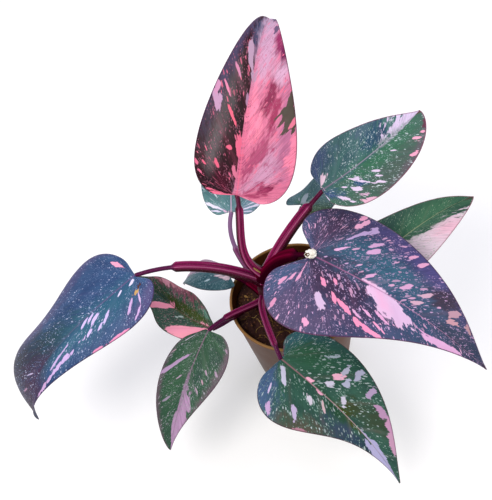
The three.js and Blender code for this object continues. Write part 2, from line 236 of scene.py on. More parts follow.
def finish(tree, base, rough, relief, strength, depth, gloss=0.5, **more):
    """Gives a material's shader its colour, roughness and gloss, a relief with its strength and depth in
    metres, and more inputs by name, with _ for a space."""
    bump = node(tree, "Bump", {"Height": relief, "Strength": strength, "Distance": depth})
    inputs = {"Base Color": base, "Roughness": rough, "Specular IOR Level": gloss, "Normal": bump.outputs[0]}
    inputs.update({name.replace("_", " "): value for name, value in more.items()})
    fill(tree, tree.nodes["Principled BSDF"], inputs)


def dress(piece, material):
    piece.data.materials.clear()
    piece.data.materials.append(material)


def pot_plastic():
    material, tree = new_material("grey-brown polypropylene")
    place = own_place(tree)
    cloud = grain_of(tree, place, 14, detail=5)
    drawn = grain_of(tree, place, (260, 260, 31.2), detail=2)
    dust = grain_of(tree, place, 900, detail=2)
    height = split(tree, place)["Z"]
    base = over(tree, "42200c", "5e3217", ramp(tree, cloud, 0.3, 0.7))
    base = over(tree, base, "7c5230", drawn, 0.2)
    base = over(tree, base, "4a3a28", ramp(tree, dust, 0.62, 0.72), 0.25)
    # A painted highlight: a pale tan band along the top of the rim, where light catches it.
    rim = ramp(tree, height, POT_HEIGHT - 2.2 * MM, POT_HEIGHT - 0.4 * MM)
    base = over(tree, base, "a07a4a", rim, 0.6)
    splash = calc(tree, "MULTIPLY", ramp(tree, height, 30 * MM, 0), ramp(tree, cloud, 0.35, 0.6))
    base = over(tree, base, "5a4630", splash, 0.35)
    relief = weighed(tree, drawn, 0.5, dust, 0.2)
    finish(tree, base, ramp(tree, cloud, -0.6, 1.9), relief, 0.25, 0.3 * MM, gloss=0.06)
    return material


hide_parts("pot")
dress(pot, pot_plastic())

# ------------------------------------------------------------------------------------ potting mix
# Dark peat and composted bark, with chips of bark, crumbs and tan coir strands lying in its surface. It
# fills the pot to a finger's breadth under the rim, and the stem stands in it.

SOIL_LEVEL = 86 * MM
SOIL_LUMP = 2.2 * MM
GAP = 0.3 * MM
SOIL_SIDES = 180
SOIL_RINGS = 64
CRUMBS = 620
CHIPS = 90
STRANDS = 230
STRAND_STEPS = 9
chance = random.Random(11)


def share_of(value, low, high):
    """How far a value has come from low to high, kept between 0 and 1."""
    return np.clip((value - low) / (high - low), 0, 1)


def pot_inside(height):
    """Inner radius of the pot at a height."""
    bottom, top = FOOT_RADIUS - POT_WALL, wall_top - POT_WALL
    return bottom + (top - bottom) * share_of(height, inside_floor, collar_foot - 2 * MM)


def soil_height(x, y):
    """Crossed sine waves of unlike lengths, with finer crumbs on them."""
    u, v = x / MM, y / MM
    waves = 0.5 * math.sin(0.31 * u + 0.17 * v) + 0.35 * math.sin(0.53 * v - 0.29 * u + 1)
    waves += 0.3 * math.sin(0.71 * u + 2)
    crumbs = noise.fractal(Vector((u, v, 0)) * 0.42, 1.0, 2.0, 4) * 0.9 * MM
    crumbs += abs(noise.noise(Vector((u, v, 3)) * 0.9)) * 1.1 * MM
    return SOIL_LEVEL + SOIL_LUMP * waves + crumbs


def keep(piece, name, values):
    """Keeps a number or a vector for each point of the piece, for its material to read by name."""
    values = np.array(values, np.float32)
    kind, field = ("FLOAT", "value") if values.ndim == 1 else ("FLOAT_VECTOR", "vector")
    piece.data.attributes.new(name, kind, "POINT").data.foreach_set(field, values.reshape(-1))


def read(tree, name, output="Vector"):
    return node(tree, "Attribute", attribute_name=name).outputs[output]


def heap(name, lumps):
    """One piece from many lumps, each with its points, its faces and a tone that its material reads."""
    points, faces, tones = [], [], []
    for lump_points, lump_faces, tone in lumps:
        faces += [[len(points) + i for i in face] for face in lump_faces]
        points += lump_points
        tones += [tone] * len(lump_points)
    piece = mesh_piece(name, points, faces)
    keep(piece, "tone", tones)
    return piece


def ball(fineness, radius):
    """Points and faces of a ball made of near-equal triangles."""
    made = bmesh.new()
    bmesh.ops.create_icosphere(made, subdivisions=fineness, radius=radius)
    points = [v.co.copy() for v in made.verts]
    faces = [[v.index for v in face.verts] for face in made.faces]
    made.free()
    return points, faces


def on_soil(draw, margin):
    """A place drawn at random on the mix, a margin away from the pot, and its turn round the pot."""
    reach = (soil_edge - margin) * math.sqrt(draw.random())
    turn = draw.uniform(0, 2 * math.pi)
    return reach * math.cos(turn), reach * math.sin(turn), turn


def scattered(name, count, sizes, shape, seed):
    """Lumps strewn in the soil's surface: sizes is their [least, most] length, shape their proportions."""
    draw = random.Random(seed)
    ball_points, ball_faces = ball(2, 0.5)
    lumps = []
    for _ in range(count):
        x, y, turn = on_soil(draw, 3 * MM)
        length = draw.uniform(*sizes) * draw.uniform(0.6, 1)
        spin = Matrix.Rotation(draw.uniform(0, 2 * math.pi), 3, "Z")
        tilt = Matrix.Rotation(draw.uniform(-0.6, 0.6), 3, Vector((math.cos(turn), math.sin(turn), 0)))
        seat = Vector((x, y, soil_height(x, y) + 0.1 * length))
        shift = Vector((draw.uniform(0, 90), 0, 0))
        points = []
        for p in ball_points:
            rough = 1 + 0.5 * noise.noise(p * 2.3 + shift)
            points.append(tilt @ spin @ (p * Vector(shape) * length * rough) + seat)
        lumps.append((points, ball_faces, draw.random()))
    return heap(name, lumps)


def tube(path, radii, sides):
    """Points and faces of a closed round tube along a path, with a radius at each of its points."""
    points = []
    for i, here in enumerate(path):
        way = (path[min(i + 1, len(path) - 1)] - path[max(i - 1, 0)]).normalized()
        across = way.cross(Vector((0.3, 0.1, 0.95))).normalized()
        other = way.cross(across)
        points += [here + (across * math.cos(t) + other * math.sin(t)) * radii[i] for t in turns(sides)]
    caps = [tuple(reversed(range(sides))), tuple(range(len(points) - sides, len(points)))]
    return points, bands(len(path), sides) + caps


def coir_strand():
    """Points, faces and tone of a strand that wanders over the mix and dips into it at its ends."""
    x, y, _ = on_soil(chance, 6 * MM)
    heading = chance.uniform(0, 2 * math.pi)
    length = chance.uniform(5, 17) * MM
    curl = chance.uniform(-1.6, 1.6)
    arch = chance.uniform(0.2, 1.6) * MM
    thickness = chance.uniform(0.13, 0.34) * MM
    path, radii = [], []
    for i in range(STRAND_STEPS):
        share = i / (STRAND_STEPS - 1)
        if math.hypot(x, y) > soil_edge - 1.5 * MM:
            x, y = x * 0.97, y * 0.97
        rise = arch * math.sin(math.pi * share) - 0.2 * MM
        path.append(Vector((x, y, soil_height(x, y) + rise)))
        radii.append(thickness * (1 - 0.5 * abs(2 * share - 1)))
        x += math.cos(heading) * length / (STRAND_STEPS - 1)
        y += math.sin(heading) * length / (STRAND_STEPS - 1)
        heading += curl / (STRAND_STEPS - 1)
    return *tube(path, radii, 5), chance.random()


def earthy(name, dark, middle, light, rough_scale):
    """A dull crumbly material whose colour goes from dark to light with the tone of each lump."""
    material, tree = new_material(name)
    crumb = grain_of(tree, own_place(tree), rough_scale, detail=6, roughness=0.7)
    mixed = weighed(tree, read(tree, "tone", "Fac"), 0.7, crumb, 0.6)
    base = over(tree, dark, middle, ramp(tree, mixed, 0.2, 0.75))
    base = over(tree, base, light, ramp(tree, mixed, 0.75, 1.1))
    finish(tree, base, 0.9, crumb, 0.7, 0.5 * MM, gloss=0.25)
    return material


soil_edge = pot_inside(SOIL_LEVEL) - 0.4 * MM - GAP
soil_bottom = inside_floor + GAP
soil_rings = [
    circle(pot_inside(soil_bottom) - 2 * MM - GAP, soil_bottom, SOIL_SIDES),
    circle(pot_inside(soil_bottom + 3 * MM) - 0.6 * MM - GAP, soil_bottom + 3 * MM, SOIL_SIDES),
]
for r in range(SOIL_RINGS, 0, -1):
    settled = 1 * MM if r == SOIL_RINGS else 0
    ring = circle(soil_edge * r / SOIL_RINGS, 0, SOIL_SIDES)
    soil_rings.append([(x, y, soil_height(x, y) - settled) for x, y, _ in ring])
soil_centres = (0, 0, soil_bottom), (0, 0, soil_height(0, 0))
soil_points, soil_faces = ringed(soil_centres[0], soil_rings, soil_centres[1])
potting_mix = mesh_piece("potting_mix", soil_points, soil_faces)
keep(potting_mix, "tone", [0.2] * len(soil_points))
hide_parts("soil")
dress(potting_mix, earthy("peat", "220d0e", "44241b", "74502c", 700))
crumbs = scattered("soil_crumbs", CRUMBS, (1.2 * MM, 3.4 * MM), (1, 0.8, 0.6), 5)
dress(crumbs, earthy("bark crumbs", "260f0f", "522e22", "94703c", 900))
chips = scattered("bark_chips", CHIPS, (4 * MM, 8 * MM), (1, 0.45, 0.28), 7)
dress(chips, earthy("bark chips", "28130e", "56331f", "987440", 500))
coir = heap("coir_strands", [coir_strand() for _ in range(STRANDS)])
dress(coir, earthy("coir", "3a2810", "80602c", "c7a765", 300))

# ------------------------------------------------------------------------------------------ stem
# A short upright stem, dark maroon and slightly glossy, with a swollen joint and a ring scar where each
# leaf is carried. Its foot is buried in the mix.

STEM_X = -24 * MM
STEM_Y = 5 * MM
STEM_RADIUS = 7.2 * MM
STEM_TOP_RADIUS = 5.2 * MM
STEM_FOOT = SOIL_LEVEL - 26 * MM
STEM_TOP = 139 * MM
JOINTS = [z * MM for z in (139, 132, 126, 124, 114, 110, 108, 102, 98, 93, 93)]
JOINT_SWELL = 0.12
JOINT_REACH = 3 * MM
SCAR_RISE = 2.4 * MM
SCAR_WIDTH = 0.35 * MM
SCAR_DEPTH = 0.25 * MM
DOME = 1.5 * MM
STEM_RINGS = 110
STEM_SIDES = 40


def peak(away, reach):
    """1 where away is 0, fading to nothing a little beyond the reach."""
    return np.exp(-((away / reach) ** 2))


def stem_radius(z, turn):
    plain = STEM_RADIUS + (STEM_TOP_RADIUS - STEM_RADIUS) * share_of(z, SOIL_LEVEL, STEM_TOP)
    joint = max(peak(z - foot, JOINT_REACH) for foot in JOINTS)
    scar = max(peak(z - foot - SCAR_RISE, SCAR_WIDTH) for foot in JOINTS)
    above = share_of(z, SOIL_LEVEL + 2 * MM, SOIL_LEVEL + 6 * MM)
    knobs = 0.03 * math.sin(5 * turn + z / MM * 0.2) + 0.02 * math.sin(11 * turn)
    dome = math.sqrt(share_of(z, STEM_TOP + DOME, STEM_TOP - DOME))
    return (plain * (1 + JOINT_SWELL * joint * above + knobs) - SCAR_DEPTH * scar * above) * dome


def stem_point(z, turn):
    radius = stem_radius(z, turn)
    return STEM_X + radius * math.cos(turn), STEM_Y + radius * math.sin(turn), z


def stem_skin():
    material, tree = new_material("maroon stem skin")
    place = own_place(tree)
    streaks = grain_of(tree, place, (420, 420, 63), detail=4)
    blotch = grain_of(tree, place, 90, detail=4)
    base = over(tree, "24030c", "4c0a22", ramp(tree, streaks, 0.3, 0.7))
    base = over(tree, base, "330c10", ramp(tree, blotch, 0.58, 0.78))
    finish(tree, base, ramp(tree, blotch, -0.4, 1.8), streaks, 0.4, 0.3 * MM)
    return material


stem_rings = []
for r in range(STEM_RINGS):
    z = STEM_FOOT + GAP + (STEM_TOP - STEM_FOOT) * r / (STEM_RINGS - 1)
    stem_rings.append([stem_point(z, turn) for turn in turns(STEM_SIDES)])
stem_ends = (STEM_X, STEM_Y, STEM_FOOT), (STEM_X, STEM_Y, STEM_TOP + 0.6 * MM)
stem = mesh_piece("stem_crown", *ringed(stem_ends[0], stem_rings, stem_ends[1]))
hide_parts("stem")
dress(stem, stem_skin())

# ------------------------------------------------------------------- the newest leaf, standing upright
# Each leaf is a petiole and a blade. The petiole is a thick grooved sheath that ends in a rounded lip,
# and then a thin stalk. The blade is a glossy heart-shaped sheet on a stout midrib, and its green cells
# are missing in sectors and flecks that follow the veins. This one is half pink.

FIRST_VEIN = 0.12
NOTCH_WIDTH = 0.2
SINUS_WIDTH = 0.3
TIP_WIDTH = 0.03
VEIN_LEAD = 0.28
REACH = 0.36
RIB_HALF_WIDTH = 2.4 * MM
BLADE_THICKNESS = 0.8 * MM
EDGE_THICKNESS = 0.35 * MM
KEEL = 1.7 * MM
VEIN_GROOVE = 0.28 * MM
VEIN_QUILT = 0.22 * MM
RIB_GROOVE = 0.32 * MM
BLADE_WOBBLE = 0.5 * MM
WELD = 0.02 * MM
STALK_TIP_RADIUS = 2 * MM
SHEATH_TAPER = 0.2
FOOT_SWELL = 0.3
FOOT_SWELL_REACH = 7 * MM
GROOVE_DEPTH = 0.36
GROOVE_ANGLE = 0.34
LIP_HEIGHT = 0.09
LIP_ANGLE = 0.72
LIP_SPREAD = 0.26
NECK_DROP = 0.8 * MM
BLADE_ROWS = 150
BLADE_COLUMNS = 30
RIB_COLUMNS = 4
ROW_CROWDING = 1.15
VEIN_GRAIN = 50 * MM
PETIOLE_RINGS = 110
PETIOLE_SIDES = 36


def direction(heading, pitch):
    level = math.cos(math.radians(pitch))
    turn = math.radians(heading)
    return np.array([level * math.cos(turn), level * math.sin(turn), math.sin(math.radians(pitch))])


def bent_line(start, leaving, end, arriving):
    """The four points of a cubic curve that leaves start and reaches end in the given directions."""
    start, end = np.array(start, float), np.array(end, float)
    reach = np.linalg.norm(end - start) * REACH
    return np.array([start, start + reach * leaving, end - reach * arriving, end])


def on_line(line, t):
    t = np.asarray(t, float)[..., None]
    s = 1 - t
    return s**3 * line[0] + 3 * s * s * t * line[1] + 3 * s * t * t * line[2] + t**3 * line[3]


def way_of(line, t):
    t = np.asarray(t, float)[..., None]
    s = 1 - t
    steps = np.diff(line, axis=0)
    way = s * s * steps[0] + 2 * s * t * steps[1] + t * t * steps[2]
    return way / np.linalg.norm(way, axis=-1, keepdims=True)


def length_of(line):
    return np.linalg.norm(np.diff(on_line(line, np.linspace(0, 1, 201)), axis=0), axis=1).sum()


def sideways_of(start, end):
    across = np.cross(end - start, [0, 0, 1])
    return across / np.linalg.norm(across)


def frame_at(line, sideways, t):
    """Place, right-hand side and upward direction along a line. Before its start it runs on straight."""
    t = np.asarray(t, float)
    inside = np.clip(t, 0, 1)
    way = way_of(line, inside)
    place = on_line(line, inside) + (np.minimum(t, 0) * length_of(line))[..., None] * way
    side = sideways - (way @ sideways)[..., None] * way
    side /= np.linalg.norm(side, axis=-1, keepdims=True)
    return place, side, np.cross(side, way)


def smooth(value, low, high):
    share = share_of(value, low, high)
    return share * share * (3 - 2 * share)


def spine_of(leaf):
    runs_out, ends = direction(*leaf["runs_out"]), direction(*leaf["ends"])
    return bent_line(np.array(leaf["neck"]) * MM, runs_out, np.array(leaf["tip"]) * MM, ends)


def wave_angle(leaf, half, a):
    return leaf["waves"] * a + leaf["phase"] + (1.3 if half > 0 else 0)


def margin(leaf, half, a):
    """The margin of one half at angle a, 0 at the notch and pi at the tip: shares of length and width."""
    k = 0 if half < 0 else 1
    point, lobe = leaf["point"][k], leaf["lobe"][k]
    along = -lobe + (1 + lobe) * (1 - np.cos(a)) / 2 + lobe * peak(a - FIRST_VEIN, NOTCH_WIDTH)
    widest = 2 * math.atan(1 / math.sqrt(1 + point))
    shape = np.sin(a) * np.maximum(np.cos(a / 2), 1e-9) ** point
    widest_shape = math.sin(widest) * math.cos(widest / 2) ** point
    sway = 1 + leaf["sway"][k] * np.sin(wave_angle(leaf, half, a))
    opened = 1 - leaf["sinus"][k] * peak(a - FIRST_VEIN, SINUS_WIDTH)
    blunt = TIP_WIDTH * np.sqrt(np.maximum(np.sin(a), 0)) * smooth(a, 1.6, 2.6)
    return along, sway * opened * shape / widest_shape + blunt


def off_vein(leaf, a):
    """Side veins are evenly spaced in a: 0 on a vein, rising to 1 half-way between two."""
    return 1 - np.abs(((a / math.pi * leaf["veins"]) % 1) - 0.5) * 2


def blade_relief(leaf, half, a, v, q):
    """Sunken side veins, a little quilting between them, and a raised midrib between two shallow grooves."""
    away = off_vein(leaf, a)
    fade = smooth(v, 0.0, 0.12) * (1 - 0.7 * smooth(v, 0.55, 1.0)) * np.sin(a) ** 0.5
    groove = -VEIN_GROOVE * peak(away, 0.16) * fade
    quilt = VEIN_QUILT * np.sin(away * math.pi / 2) * fade
    midrib = -RIB_GROOVE * np.sin(np.pi * np.clip(q, 0, 1)) ** 2 * (v <= 0)
    wobble = BLADE_WOBBLE * np.sin(5.3 * a + 2.1 * v + leaf["phase"]) * np.sin(3.1 * v + half) * v
    return groove + quilt + midrib + wobble


def blade_points(leaf, half, a, v, q):
    """Points of one half of the blade's middle surface, their upward directions and vein lengths.
    v runs from the rib's edge at 0 to the margin at 1, and q from the rib's centre at 0 to its edge at 1."""
    k = 0 if half < 0 else 1
    line = spine_of(leaf)
    length, width = length_of(line), leaf["half_width"][k] * MM
    along, out = margin(leaf, half, a)
    start = np.maximum(0, along - VEIN_LEAD * np.maximum(out, 0) ** 0.6)
    start = np.where(a > math.pi - 1e-6, 1, start)
    vein_x, vein_y = (along - start) * length, out * width
    angle = np.arctan2(vein_y, vein_x) % (2 * math.pi)
    turn = np.where(start == 0, math.pi / 2, np.minimum(angle, math.pi / 2))
    vein_length = np.hypot(vein_x, vein_y)
    rib = np.minimum(RIB_HALF_WIDTH * (1 - start) ** 0.7, 0.9 * vein_length)
    forward = rib * np.cos(turn) * (1 - v) + vein_x * v
    w = q * (rib * np.sin(turn) * (1 - v) + vein_y * v)
    place, side, up = frame_at(line, sideways_of(line[0], line[3]), start + forward / length)
    fold = math.radians(leaf["fold"][k])
    lift = w * math.sin(fold) - leaf["droop"][k] * width * (w / width) ** 2
    lift += leaf["ripple"] * MM * v**2 * np.sin(wave_angle(leaf, half, a)) * np.sin(a)
    lift += blade_relief(leaf, half, a, v, q)
    place = place + side * (half * w * math.cos(fold))[..., None] + up * lift[..., None]
    return place, up, vein_length


def blade(leaf):
    """The blade as a closed sheet, with what its material reads kept on its points: place (share of the
    way from notch to tip, signed share of the vein), grain (metres across and along the veins) and
    parts (rib, edge, side vein)."""
    out = np.linspace(0, 1, BLADE_COLUMNS + 1)
    middle = np.linspace(0, 1, RIB_COLUMNS + 1)
    half = np.array([-1] * (BLADE_COLUMNS + RIB_COLUMNS + 1) + [1] * (BLADE_COLUMNS + RIB_COLUMNS))
    v = np.concatenate([out[:0:-1], np.zeros(2 * RIB_COLUMNS + 1), out[1:]])
    q = np.concatenate([np.ones(BLADE_COLUMNS), middle[::-1], middle[1:], np.ones(BLADE_COLUMNS)])
    rows = np.linspace(0, 1, BLADE_ROWS + 1)[:, None]
    a = np.repeat(FIRST_VEIN + (math.pi - FIRST_VEIN) * rows**ROW_CROWDING, len(v), 1)
    place, up, vein = np.zeros((*a.shape, 3)), np.zeros((*a.shape, 3)), np.zeros(a.shape)
    for side in (-1, 1):
        own = half == side
        place[:, own], up[:, own], vein[:, own] = blade_points(leaf, side, a[:, own], v[own], q[own])
    signed = half * v
    from_edge = (1 - v) * vein
    ends = smooth(rows, 0, 0.03) * smooth(1 - rows, 0, 0.02)
    thick = EDGE_THICKNESS + (BLADE_THICKNESS - EDGE_THICKNESS) * smooth(from_edge, 0, 3 * MM) * ends
    keel = KEEL * (1 - rows) * np.cos(np.pi / 2 * np.where(v == 0, q, 1))
    top = place + up * (thick / 2)[..., None]
    under = place - up * (thick / 2 + keel)[..., None]
    tall, wide = a.shape
    count = tall * wide
    faces = []
    for r in range(tall - 1):
        for c in range(wide - 1):
            p = r * wide + c
            faces.append((p, p + 1, p + wide + 1, p + wide))
            faces.append((count + p + wide, count + p + wide + 1, count + p + 1, count + p))
    rim = [r * wide for r in reversed(range(tall))] + list(range(1, wide))
    rim += [r * wide + wide - 1 for r in range(1, tall)]
    faces += [(n, p, p + count, n + count) for p, n in zip(rim, rim[1:])]
    piece = mesh_piece(leaf["name"] + "_lamina", [*top.reshape(-1, 3), *under.reshape(-1, 3)], faces)
    rib = np.where(v == 0, 1 - q * 0.85, 0)
    side_vein = peak(off_vein(leaf, a), 0.12) * np.sin(a) ** 0.5 * (1 - smooth(v, 0.5, 1.0))
    kept = {
        "place": (a / math.pi, signed, rib),
        "grain": (a * VEIN_GRAIN, signed * vein, side_vein),
        "parts": (rib, from_edge / (10 * MM), side_vein),
    }
    for name, parts in kept.items():
        flat = np.stack([np.broadcast_to(part, a.shape).reshape(-1) for part in parts], 1)
        keep(piece, name, np.concatenate([flat, flat]))
    keep(piece, "underside", [0] * count + [1] * count)
    whole = bmesh.new()
    whole.from_mesh(piece.data)
    bmesh.ops.remove_doubles(whole, verts=whole.verts, dist=WELD)
    bmesh.ops.dissolve_degenerate(whole, edges=whole.edges, dist=WELD / 4)
    whole.to_mesh(piece.data)
    whole.free()
    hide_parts(leaf["name"] + "_blade")
    return piece


def petiole_line(leaf):
    """The curve from the stem to just under the blade's neck, and its sideways direction."""
    spine = spine_of(leaf)
    neck, _, neck_up = frame_at(spine, sideways_of(spine[0], spine[3]), np.array(0.0))
    end = neck - neck_up * NECK_DROP
    foot = np.array([STEM_X, STEM_Y, leaf["foot"] * MM])
    line = bent_line(foot, direction(*leaf["leaves"]), end, direction(*leaf["arrives"]))
    return line, sideways_of(foot, end)


def sheath_radius(leaf, t):
    return leaf["stalk"] * MM * (1 - SHEATH_TAPER * t)


def foot_swell(line, t):
    return 1 + FOOT_SWELL * np.exp(-t * length_of(line) / FOOT_SWELL_REACH)


def petiole(leaf):
    """The grooved sheath and thin stalk that carry a blade. Run keeps, for its material, metres along it,
    the angle off its top and 1 on the sheath."""
    line, sideways = petiole_line(leaf)
    t = np.linspace(0, 1, PETIOLE_RINGS)
    place, side, up = frame_at(line, sideways, t)
    sheathed = 1 - smooth(t, leaf["sheath"] - 0.035, leaf["sheath"] + 0.006)
    body = STALK_TIP_RADIUS + (sheath_radius(leaf, t) - STALK_TIP_RADIUS) * sheathed
    body = body * foot_swell(line, t)
    turn = -np.array(turns(PETIOLE_SIDES, 0.5))
    off_top = np.abs((turn + math.pi) % (2 * math.pi) - math.pi)
    groove = GROOVE_DEPTH * peak(off_top, GROOVE_ANGLE) - LIP_HEIGHT * peak(off_top - LIP_ANGLE, LIP_SPREAD)
    ribs = 0.012 * np.cos(11 * turn)
    radius = body[:, None] * (1 - (groove + ribs) * sheathed[:, None])
    rings = place[:, None] + up[:, None] * (radius * np.cos(turn))[..., None]
    rings = rings + side[:, None] * (radius * np.sin(turn))[..., None]
    piece = mesh_piece(leaf["name"] + "_stalk", *ringed(place[0], rings, place[-1]))
    length = length_of(line)
    parts = [(t * length)[:, None], off_top, sheathed[:, None]]
    run = np.stack([np.broadcast_to(part, radius.shape) for part in parts], -1).reshape(-1, 3)
    keep(piece, "run", [(0, 0, 1), *run, (length, 0, 0)])
    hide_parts(leaf["name"] + "_petiole")
    return piece


def mask_group(name, vectors, numbers):
    """An empty shader node group that puts out a mask: its tree, its inputs and its Mask."""
    group = bpy.data.node_groups.new(name, "ShaderNodeTree")
    for title in vectors + numbers:
        kind = "NodeSocketVector" if title in vectors else "NodeSocketFloat"
        group.interface.new_socket(title, in_out="INPUT", socket_type=kind)
    group.interface.new_socket("Mask", in_out="OUTPUT", socket_type="NodeSocketFloat")
    given = group.nodes.new("NodeGroupInput").outputs
    return group, given, group.nodes.new("NodeGroupOutput").inputs["Mask"]


def flecks_group():
    """Flecks strewn along the veins: Size is their breadth in metres, Share how many of them there are."""
    group, given, mask = mask_group("flecks along the veins", ["Grain"], ["Size", "Stretch", "Share", "Seed"])
    parts = split(group, given["Grain"])
    across = calc(group, "DIVIDE", parts["X"], given["Size"])
    long_size = calc(group, "MULTIPLY", given["Size"], given["Stretch"])
    along = calc(group, "ADD", calc(group, "DIVIDE", parts["Y"], long_size), given["Seed"])
    cell = node(group, "CombineXYZ", {0: across, 1: along, 2: given["Seed"]}).outputs[0]
    ragged = node(group, "TexNoise", {"Vector": cell, "Scale": 2.4, "Detail": 3}).outputs["Color"]
    shift = vector_calc(group, "SUBTRACT", ragged, (0.5, 0.5, 0.5))
    moved = vector_calc(group, "MULTIPLY_ADD", shift, (0.6, 0.6, 0), cell)
    spots = node(group, "TexVoronoi", {"Vector": moved, "Scale": 1}, voronoi_dimensions="2D").outputs
    picked = split(group, spots["Color"])
    crowd = ramp(group, grain_of(group, given["Grain"], (70, 45, 0), detail=2), 0.3, 0.66)
    share = calc(group, "MULTIPLY", given["Share"], calc(group, "MULTIPLY", crowd, 1.9))
    there = calc(group, "LESS_THAN", picked["X"], share)
    radius = calc(group, "MULTIPLY_ADD", picked["Y"], 0.3, 0.14)
    inside = calc(group, "SUBTRACT", radius, spots["Distance"])
    spot = calc(group, "MULTIPLY", ramp(group, inside, -0.02, 0.07), there)
    strength = calc(group, "MULTIPLY_ADD", picked["Z"], 0.6, 0.4)
    group.links.new(calc(group, "MULTIPLY", spot, strength), mask)
    return group


def patch_group():
    """One patch in vein coordinates: Centre and Size are shares of notch-to-tip and of the vein."""
    vectors, numbers = ["Place", "Grain", "Centre", "Size"], ["Turn", "Ragged", "Soft"]
    group, given, mask = mask_group("patch between the veins", vectors, numbers)
    away = vector_calc(group, "SUBTRACT", given["Place"], given["Centre"])
    values = {"Vector": away, "Angle": given["Turn"]}
    away = node(group, "VectorRotate", values, rotation_type="Z_AXIS").outputs[0]
    flat = vector_calc(group, "MULTIPLY", vector_calc(group, "DIVIDE", away, given["Size"]), (1, 1, 0))
    reach = node(group, "VectorMath", {0: flat}, operation="LENGTH").outputs["Value"]
    streaks = grain_of(group, given["Grain"], (700, 90, 0), detail=4, roughness=0.7)
    broad = grain_of(group, given["Grain"], (230, 110, 0), detail=2)
    both = calc(group, "SUBTRACT", calc(group, "MULTIPLY_ADD", broad, 1.6, streaks), 1.3)
    rough = calc(group, "MULTIPLY_ADD", both, calc(group, "MULTIPLY", given["Ragged"], 2), reach)
    outer, inner = calc(group, "ADD", 1, given["Soft"]), calc(group, "SUBTRACT", 1, given["Soft"])
    group.links.new(ramp(group, rough, outer, inner), mask)
    return group


FLECKS = flecks_group()
PATCH = patch_group()


def leaf_skin(name, ground, threads, zones, flecks, patches, rib, edge, below):
    """The skin of one blade. Ground is its dark and light colour, threads the colour and strength of the
    fine lines along the veins. A zone or patch is (colour, degrees from the notch, share of the vein,
    which is negative on the left half, half sizes of both, raggedness, softness), and its turn in degrees
    where it has one. A fleck is (colour, breadth in mm, stretch, share). Rib is the midrib's colour at
    the neck and at the tip. The colours lie over one another in this order, and below is the underside's."""
    material, tree = new_material(name)
    place, grain = read(tree, "place"), read(tree, "grain")
    parts = split(tree, read(tree, "parts"))
    cloud = grain_of(tree, grain, (60, 40, 0), detail=4)
    fibre = grain_of(tree, grain, (1500, 55, 0))
    mottle = grain_of(tree, grain, (700, 500, 0))

    def painted(base, marks):
        for shade, degrees, share, size_a, size_v, ragged, soft, *turn in marks:
            values = {"Place": place, "Grain": grain, "Ragged": ragged, "Soft": soft}
            values["Centre"] = (degrees / 180, share, 0)
            values["Size"] = (size_a / 180, size_v, 1)
            values["Turn"] = math.radians(sum(turn))
            base = over(tree, base, shade, node(tree, "Group", values, node_tree=PATCH).outputs["Mask"])
        return base

    base = painted(over(tree, *ground, ramp(tree, cloud, 0.3, 0.7)), zones)
    base = over(tree, base, threads[0], ramp(tree, fibre, 0.45, 0.65), threads[1])
    base = over(tree, base, flecks[0][0], ramp(tree, mottle, 0.6, 0.74), 0.16)
    for number, (shade, breadth, stretch, share) in enumerate(flecks):
        values = {"Grain": grain, "Size": breadth * MM, "Stretch": stretch, "Share": share}
        values["Seed"] = 3.7 * number
        base = over(tree, base, shade, node(tree, "Group", values, node_tree=FLECKS).outputs["Mask"])
    base = painted(base, patches)
    rib_shade = over(tree, *rib, ramp(tree, split(tree, place)["X"], 0.4, 0.75))
    rib_line = ramp(tree, parts["X"], 0.45, 1.0)
    base = over(tree, base, rib_shade, parts["Z"], 0.08)
    base = over(tree, base, rib_shade, rib_line, 0.8)
    base = over(tree, base, edge, ramp(tree, parts["Y"], 0.13, 0.02), 0.8)
    lower = over(tree, over(tree, base, below, 0.62), rib_shade, rib_line)
    base = over(tree, base, lower, read(tree, "underside", "Fac"))
    relief = weighed(tree, fibre, 0.6, mottle, 0.25)
    finish(tree, base, ramp(tree, mottle, -0.8, 2.0), relief, 0.3, 0.25 * MM, gloss=0.13)
    return material


def petiole_skin(name, deep, bright, stalk, highlight_and_specks, gloss):
    """Skin of a petiole, with painted light and shade: bright on its top and along the groove's lips, deep
    below and darker in the groove, with a painted highlight on the lips, pale specks, and the stalk's own
    shade on the thin stalk. Gloss is 0 for one that lies in shade."""
    material, tree = new_material(name)
    run = read(tree, "run")
    parts = split(tree, run)
    lines = grain_of(tree, run, (24, 5.5, 0), detail=4)
    long_lines = grain_of(tree, run, (9, 16, 0))
    # Painted light and shade: bright on the top of the petiole, deep below.
    base = over(tree, deep, bright, ramp(tree, parts["Y"], 1.45, 0.55))
    base = over(tree, base, deep, ramp(tree, lines, 0.42, 0.7), 0.5)
    # Painted shade: darker in the groove along the top.
    base = over(tree, base, deep, ramp(tree, parts["Y"], 0.42, 0.12), 0.5)
    # A painted highlight: a pale line along each lip of the groove.
    off_lip = calc(tree, "ABSOLUTE", calc(tree, "SUBTRACT", parts["Y"], LIP_ANGLE))
    painted_highlight = calc(tree, "MULTIPLY", ramp(tree, off_lip, 0.14, 0), ramp(tree, long_lines, 0.35, 0.6))
    base = over(tree, base, highlight_and_specks, painted_highlight, 0.5)
    base = over(tree, base, stalk, calc(tree, "SUBTRACT", 1, parts["Z"]), 0.85)
    # Pale specks, the skin's own, in the highlight colour.
    values = {"Vector": vector_calc(tree, "MULTIPLY", run, (420, 2.2, 0)), "Scale": 1}
    specks = node(tree, "TexVoronoi", values, voronoi_dimensions="2D").outputs["Distance"]
    base = over(tree, base, highlight_and_specks, ramp(tree, specks, 0.09, 0.04), 0.3)
    coat = {"Coat_Weight": gloss, "Coat_Roughness": 0.12}
    finish(tree, base, ramp(tree, lines, -0.9, 2.6), long_lines, 0.25, 0.3 * MM, gloss=gloss * 0.6, **coat)
    return material


